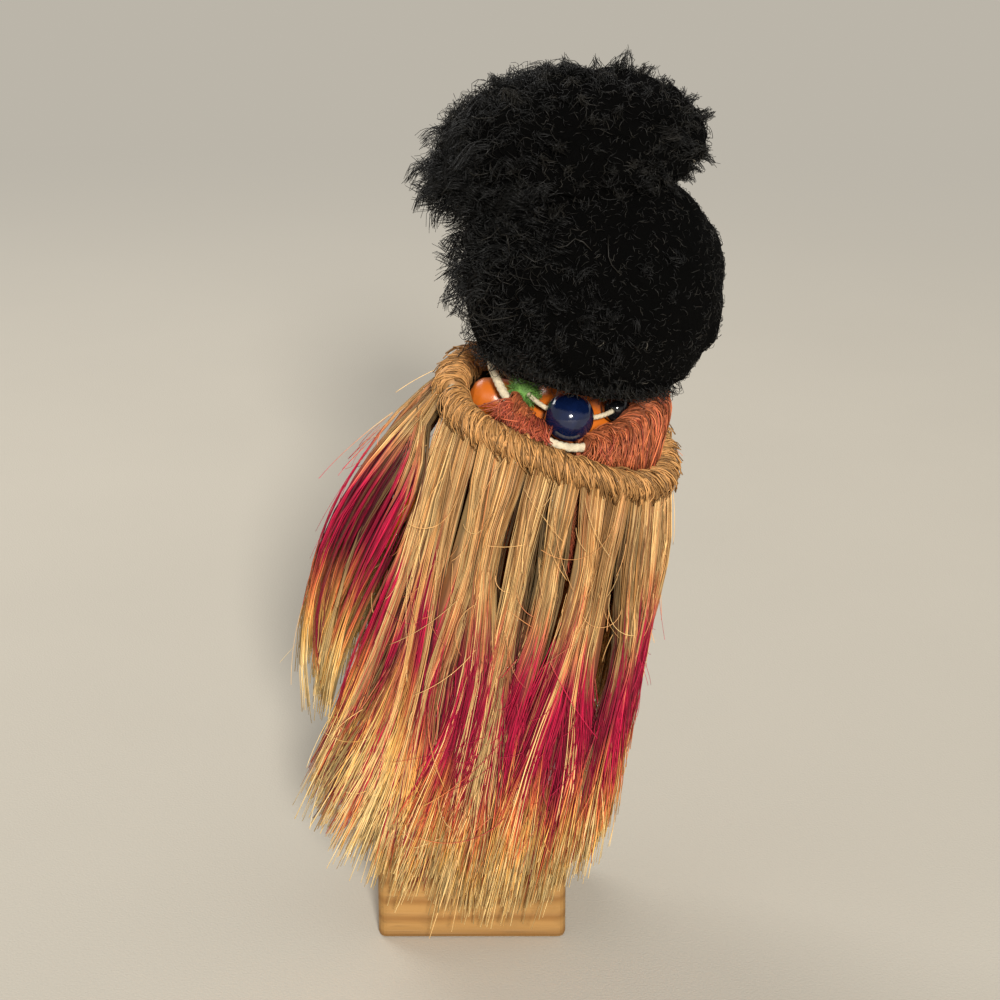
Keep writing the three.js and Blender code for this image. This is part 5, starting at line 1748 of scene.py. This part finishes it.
def tufts(point, seeds, flow, length, each, radius, rng):
    """Pointed tufts: hairs that start spread over a patch of the surface and draw together to one tip."""
    count = len(seeds) * each
    t = np.linspace(0, 1, 6)[None, :, None]
    near = unit(np.repeat(seeds, each, 0) + rng.normal(0, 0.06, (count, 3)))
    aim = unit(outside(point, seeds) * rng.uniform(0.25, 0.75, (len(seeds), 1)) + flow)
    bend = rng.normal(0, 0.35, (len(seeds), 3))
    reach = length * rng.uniform(0.45, 1.25, (len(seeds), 1))
    tip = point(seeds) + aim * reach + bend * reach * 0.3
    tip = np.repeat(tip, each, 0) + rng.normal(0, 0.35, (count, 3))
    start = point(near) - outside(point, near) * 0.5
    middle = (start + tip) / 2 + np.repeat(bend * reach, each, 0) * 0.5 + rng.normal(0, 0.4, (count, 3))
    path = bezier(start[:, None], middle[:, None], tip[:, None], t)
    wobble = rng.normal(0, 0.22, (count, 1, 3)) * np.sin(2 * np.pi * t * rng.uniform(1, 2.4, (count, 1, 1)))
    # Painted highlights: some tufts are a little grey.
    tint = np.repeat(0.04 * rng.uniform(0, 1, (len(seeds), 1)) ** 2, each, 0)
    return strands(path + wobble, radius * (1.3 - 0.6 * t[..., 0]), tint, 0.0, rng)


def curls(point, seeds, flow, length, each, size, radius, rng):
    """Loose curly locks: bundles of hairs that wind round one line, which runs off the surface and droops."""
    count = len(seeds) * each
    member = np.repeat(np.arange(len(seeds)), each)
    t = np.linspace(0, 1, 9)[None, :, None]
    aim = unit(flow + rng.normal(0, 0.3, seeds.shape))
    a = unit(np.cross(aim, [0.2, 0.9, 0.4]))
    b = np.cross(aim, a)
    reach = length * rng.uniform(0.5, 1.2, (len(seeds), 1))
    phase = rng.uniform(0, 2 * np.pi, (len(seeds), 1))[member] + rng.normal(0, 0.35, (count, 1))
    angle = phase[..., None] + 2 * np.pi * t * rng.uniform(0.7, 1.8, (len(seeds), 1))[member][..., None]
    wind = size * rng.uniform(0.6, 1.3, (len(seeds), 1))[member][..., None] * np.sqrt(t)
    start = (point(seeds) - 0.6 * outside(point, seeds))[member][:, None] + rng.normal(0, 0.55, (count, 1, 3))
    line = (aim * reach)[member][:, None] * t + np.array([0, 0, -0.3]) * reach[member][:, None] * t**2
    path = start + line + wind * (np.cos(angle) * a[member][:, None] + np.sin(angle) * b[member][:, None])
    path = path + rng.normal(0, 0.3, (count, 1, 3)) * t
    return strands(path, radius * (1.2 - 0.5 * t[..., 0]), 0.0, 0.0, rng)


def scattered(middle, spread, count, rng):
    """Directions strewn round a middle one."""
    return unit(np.array(middle) + rng.normal(0, spread, (count, 3)))


def back_fuzz(number, radius, rng):
    """Short hairs over the back of the head, longer and looser on the doll's left."""
    d = unit(rng.normal(size=(number * 3, 3)))
    d = d[(d @ HAIR_AXIS > 0.02) & (d[:, 2] > -0.74)][: number * 3 // 4]
    loose = smooth(d[:, 0], 0.1, 0.75)
    length, lift, curl = 1.5 + 2.6 * loose, 0.4 + 1.5 * loose, 0.12 + 0.45 * loose
    return fuzz(mass_point, d, length, lift, curl, radius, rng, grey=0.003)


def back_curls(radius, rng):
    """Long hairs and locks at the doll's left, tangles behind, hairs at the nape and tufts over the brow."""
    thick = radius * LOCK_HAIR
    left = scattered((1.0, 0.35, 0.15), 0.32, 500, rng)
    left = left[left @ HAIR_AXIS > 0.08][:300]
    coat = [fuzz(mass_point, left, length=6.5, lift=3.8, curl=0.9, radius=thick, rng=rng)]
    seeds = scattered((0.82, 0.35, 0.42), 0.28, 80, rng)
    seeds = seeds[seeds @ HAIR_AXIS > 0.22]
    flow = np.array([0.8, 0.15, -0.2])
    coat.append(curls(mass_point, seeds, flow, length=7.0, each=16, size=1.3, radius=thick, rng=rng))
    seeds = scattered((0.35, 0.8, -0.15), 0.42, 96, rng)
    seeds = seeds[(seeds @ HAIR_AXIS > 0.3) & (seeds[:, 2] > -0.6)][:60]
    flow = np.cross(seeds, rng.normal(size=seeds.shape)) + 0.55 * seeds
    coat.append(curls(mass_point, seeds, flow, length=3.6, each=14, size=1.1, radius=thick, rng=rng))
    nape = rng.uniform(0.5, np.pi - 0.5, 500)
    rim = unit(np.stack([np.cos(nape), np.sin(nape), rng.normal(-0.66, 0.05, 500)], -1))
    coat.append(fuzz(mass_point, rim, length=2.4, lift=2.2, curl=0.4, radius=radius, rng=rng))
    front = np.linspace(-1.25, 1.25, 64)
    rim = unit(np.stack([np.sin(front), -0.42 * np.cos(front), 0.92 * np.cos(front)], -1))
    rim = unit(rim + rng.normal(0, 0.05, rim.shape))
    flow = np.array([0, -0.5, -0.2])
    coat.append(tufts(mass_point, rim, flow, length=2.0, each=10, radius=radius * 1.4, rng=rng))
    return together(coat)


def knot_fuzz(number, radius, rng):
    """Short hairs over the top knot, longer and looser on the doll's left."""
    d = unit(rng.normal(size=(number, 3)))
    loose = smooth(d[:, 0], 0.0, 0.8)
    length, lift, curl = 2.4 + 2.6 * loose, 0.9 + 1.6 * loose, 0.25 + 0.5 * loose
    return fuzz(knot_point, d, length, lift, curl, radius, rng, grey=0.002)


def knot_tufts(number, radius, rng):
    """Pointed tufts over the top knot, and curly locks swept to the doll's left."""
    thick = radius * LOCK_HAIR
    seeds = unit(rng.normal(size=(number * 2, 3)))
    seeds = seeds[(seeds[:, 2] > -0.6) & (seeds[:, 0] < 0.55)][:number]
    flow = seeds * [0.7, 0.5, 0.4] + [0.15, 0, 0.1]
    coat = [tufts(knot_point, seeds, flow, length=2.6, each=18, radius=thick, rng=rng)]
    seeds = unit(rng.normal(size=(number, 3)) * [0.6, 1, 0.8] + [0.9, 0, 0.1])[: number // 2]
    flow = np.array([0.9, 0.0, -0.15]) + rng.normal(0, 0.25, seeds.shape)
    coat.append(curls(knot_point, seeds, flow, length=5.5, each=16, size=1.1, radius=thick, rng=rng))
    return together(coat)


def knot_curls(radius, rng):
    """Curly locks that droop from the top knot at the doll's left, and shorter ones on its top."""
    thick = radius * LOCK_HAIR
    seeds = scattered((0.75, 0.3, -0.25), 0.4, 120, rng)
    flow = np.array([0.75, 0.1, -0.35])
    locks = [curls(knot_point, seeds, flow, length=7.5, each=16, size=1.3, radius=thick, rng=rng)]
    seeds = scattered((0.35, 0.2, 0.9), 0.45, 44, rng)
    flow = np.array([0.8, 0.0, 0.3])
    locks.append(curls(knot_point, seeds, flow, length=4.6, each=14, size=0.8, radius=thick, rng=rng))
    return together(locks)


class WigOperator(bpy.types.Operator):
    """Felt cap, matted hair over the back of the head and a frizzy top knot"""

    bl_idname = "doll.wig"
    bl_label = "Wig"

    def execute(self, context):
        colours = context.scene.doll_colours
        fibre = context.scene.doll_fibre
        hair, felt = hair_material(colours), felt_material(colours)
        radius = fibre.hair_strand / MM
        rng = np.random.default_rng(41)
        cap = bowl(cap_point, CAP_INSIDE, CAP_AXIS, edge=deg(98), rows=40, cols=100)
        back = bowl(mass_point, HAIR_INSIDE, HAIR_AXIS, edge=deg(90), rows=60, cols=120)
        knot = skin_over(knot_point(ball_directions(rows=84, cols=120)), tint=0.0)
        piece("wig_cap_felt", cap, felt, "head", "felt", "wig_cap")
        piece("back_hair_mass", back, felt, "head", "hair", "back_hair")
        piece("back_hair_fuzz", back_fuzz(fibre.fuzz, radius, rng), hair, "head", "hair")
        piece("back_hair_curls", back_curls(radius, rng), hair, "head", "hair")
        piece("top_knot_mass", knot, felt, "head", "hair", "top_knot")
        piece("top_knot_fuzz", knot_fuzz(fibre.fuzz, radius, rng), hair, "head", "hair")
        piece("top_knot_tufts", knot_tufts(fibre.tufts, radius, rng), hair, "head", "hair")
        piece("top_knot_curls", knot_curls(radius, rng), hair, "head", "hair")
        return {"FINISHED"}


class BlockOperator(bpy.types.Operator):
    """The sanded pine block"""

    bl_idname = "doll.block"
    bl_label = "Block"

    def execute(self, context):
        paint_node("base_block", pine_material(context.scene.doll_colours))
        return {"FINISHED"}


# Stage

BACKDROP = 0.86  # brightness of the far floor and of the wall behind it
FLOOR_RADIUS = 6
LAMP_AIM = (0, 0, 0.08)
KEY_PLACE, KEY_SIZE, KEY_COLOUR = (-0.54, 4.47, 1.76), 0.6, (1.0, 0.97, 0.91)
FILL_PLACE, FILL_SIZE = (0.75, -0.95, 0.95), 0.8
FILL_SHARE = 0.026  # of the key lamp's power
WARM_WHITE = (1.0, 0.98, 0.95)


class CameraOperator(bpy.types.Operator):
    """The camera, behind the doll and a little above it"""

    bl_idname = "doll.camera"
    bl_label = "Camera"

    def execute(self, context):
        stage = context.scene.doll_stage
        lens = bpy.data.cameras.new("camera")
        lens.lens = stage.lens
        lens.sensor_width = 36
        lens.clip_start = 0.01
        camera = bpy.data.objects.new("camera", lens)
        context.scene.collection.objects.link(camera)
        aim = np.array(stage.aim)
        away = np.array([0, math.cos(stage.elevation), math.sin(stage.elevation)])
        camera.location = aim + away * stage.distance
        camera.rotation_euler = (math.pi / 2 - stage.elevation, 0, math.pi)
        context.scene.camera = camera
        return {"FINISHED"}


def area_lamp(name, place, aim, size, power, colour):
    light = bpy.data.lights.new(name, "AREA")
    light.shape = "DISK"
    light.size = size
    light.energy = power
    light.color = colour
    lamp = bpy.data.objects.new(name, light)
    lamp.location = place
    bpy.context.scene.collection.objects.link(lamp)
    view = unit(np.array(aim) - np.array(place))
    yaw = math.atan2(view[0], -view[1])
    pitch = math.acos(-view[2])
    lamp.rotation_euler = (pitch, 0, yaw + math.pi)
    return lamp


def floor_material(colours):
    """Pale paper with faint clouds and a fine tooth, which turns into a plain backdrop away from the doll."""
    paint = Paint("pale_paper")
    pale = linear(colours.floor)
    colour = paint.blend(paint.noise(9, detail=3), shaded(pale, 0.96), shaded(pale, 1.04))
    paint.finish(colour, 0.9, paint.noise(1800, detail=3), depth=0.00008, specular_ior_level=0.15)
    seen = paint.node("ShaderNodeLightPath", {}, {}, "Is Camera Ray")
    far = paint.away((0, 0, 0)).step(0.25, 0.9) * seen
    backdrop = paint.node("ShaderNodeEmission", {}, {"Color": shaded(pale, BACKDROP)})
    paper = Field(paint, paint.shader.outputs[0])
    surface = paint.node("ShaderNodeMixShader", {}, {0: far, 1: paper, 2: backdrop})
    paint.feed(paint.tree.nodes["Material Output"].inputs["Surface"], surface)
    return paint.material


def floor_disc(rows=24, cols=96):
    """A level disc whose rings lie closer towards its middle, with one fan of triangles there."""
    radius = np.linspace(0.02, 1.0, rows)[:, None, None] ** 2 * FLOOR_RADIUS
    disc = skin_over(radius * outward(around(cols)[None]))
    return disc._replace(triangles=disc.triangles[:cols], triangle_map=disc.triangle_map[:cols])


def world_light(colours, strength):
    """Light from all round, which the camera sees as the plain backdrop."""
    world = bpy.data.worlds.new("world")
    world.use_nodes = True
    nodes, links = world.node_tree.nodes, world.node_tree.links
    light = nodes["Background"]
    light.inputs["Color"].default_value = (*WARM_WHITE, 1)
    light.inputs["Strength"].default_value = strength
    seen = nodes.new("ShaderNodeBackground")
    seen.inputs["Color"].default_value = (*shaded(linear(colours.floor), BACKDROP), 1)
    path = nodes.new("ShaderNodeLightPath")
    swap = nodes.new("ShaderNodeMixShader")
    links.new(path.outputs["Is Camera Ray"], swap.inputs[0])
    links.new(light.outputs[0], swap.inputs[1])
    links.new(seen.outputs[0], swap.inputs[2])
    links.new(swap.outputs[0], nodes["World Output"].inputs["Surface"])
    return world


class StageOperator(bpy.types.Operator):
    """Pale floor, soft studio lamps and the light all round"""

    bl_idname = "doll.stage"
    bl_label = "Stage"

    def execute(self, context):
        scene = context.scene
        colours, stage = scene.doll_colours, scene.doll_stage
        scene.view_settings.view_transform = "Standard"
        floor = add_object("floor", mesh_of("floor", floor_disc(), lambda points: points))
        floor.data.materials.append(floor_material(colours))
        area_lamp("key", KEY_PLACE, LAMP_AIM, KEY_SIZE, stage.key, KEY_COLOUR)
        area_lamp("fill", FILL_PLACE, LAMP_AIM, FILL_SIZE, stage.key * FILL_SHARE, WARM_WHITE)
        scene.world = world_light(colours, stage.world)
        return {"FINISHED"}


OPERATORS = (
    CameraOperator, CordsOperator, CapeOperator, InnerFringeOperator, NecklaceOperator, BodyOperator,
    ArmsOperator, HeadOperator, EyesOperator, WigOperator, BlockOperator, StageOperator,
)


class DollPanel(bpy.types.Panel):
    """Lists the doll's pieces"""

    bl_idname = "VIEW3D_PT_doll"
    bl_label = "Doll"
    bl_space_type = "VIEW_3D"
    bl_region_type = "UI"
    bl_category = "Doll"

    def draw(self, context):
        for operator in OPERATORS:
            self.layout.operator(operator.bl_idname)
        for group in (context.scene.doll_colours, context.scene.doll_fibre, context.scene.doll_stage):
            for name in group.__annotations__:
                self.layout.prop(group, name)


GROUPS = {"doll_colours": DollColours, "doll_fibre": DollFibre, "doll_stage": DollStage}


def register():
    for group in (*GROUPS.values(), *OPERATORS, DollPanel):
        bpy.utils.register_class(group)
    for name, group in GROUPS.items():
        setattr(bpy.types.Scene, name, bpy.props.PointerProperty(type=group))


def unregister():
    for name in GROUPS:
        delattr(bpy.types.Scene, name)
    for group in (DollPanel, *reversed(OPERATORS), *GROUPS.values()):
        bpy.utils.unregister_class(group)


def main():
    register()
    for operator in OPERATORS:
        family, name = operator.bl_idname.split(".")
        getattr(getattr(bpy.ops, family), name)()


if __name__ == "__main__":
    main()
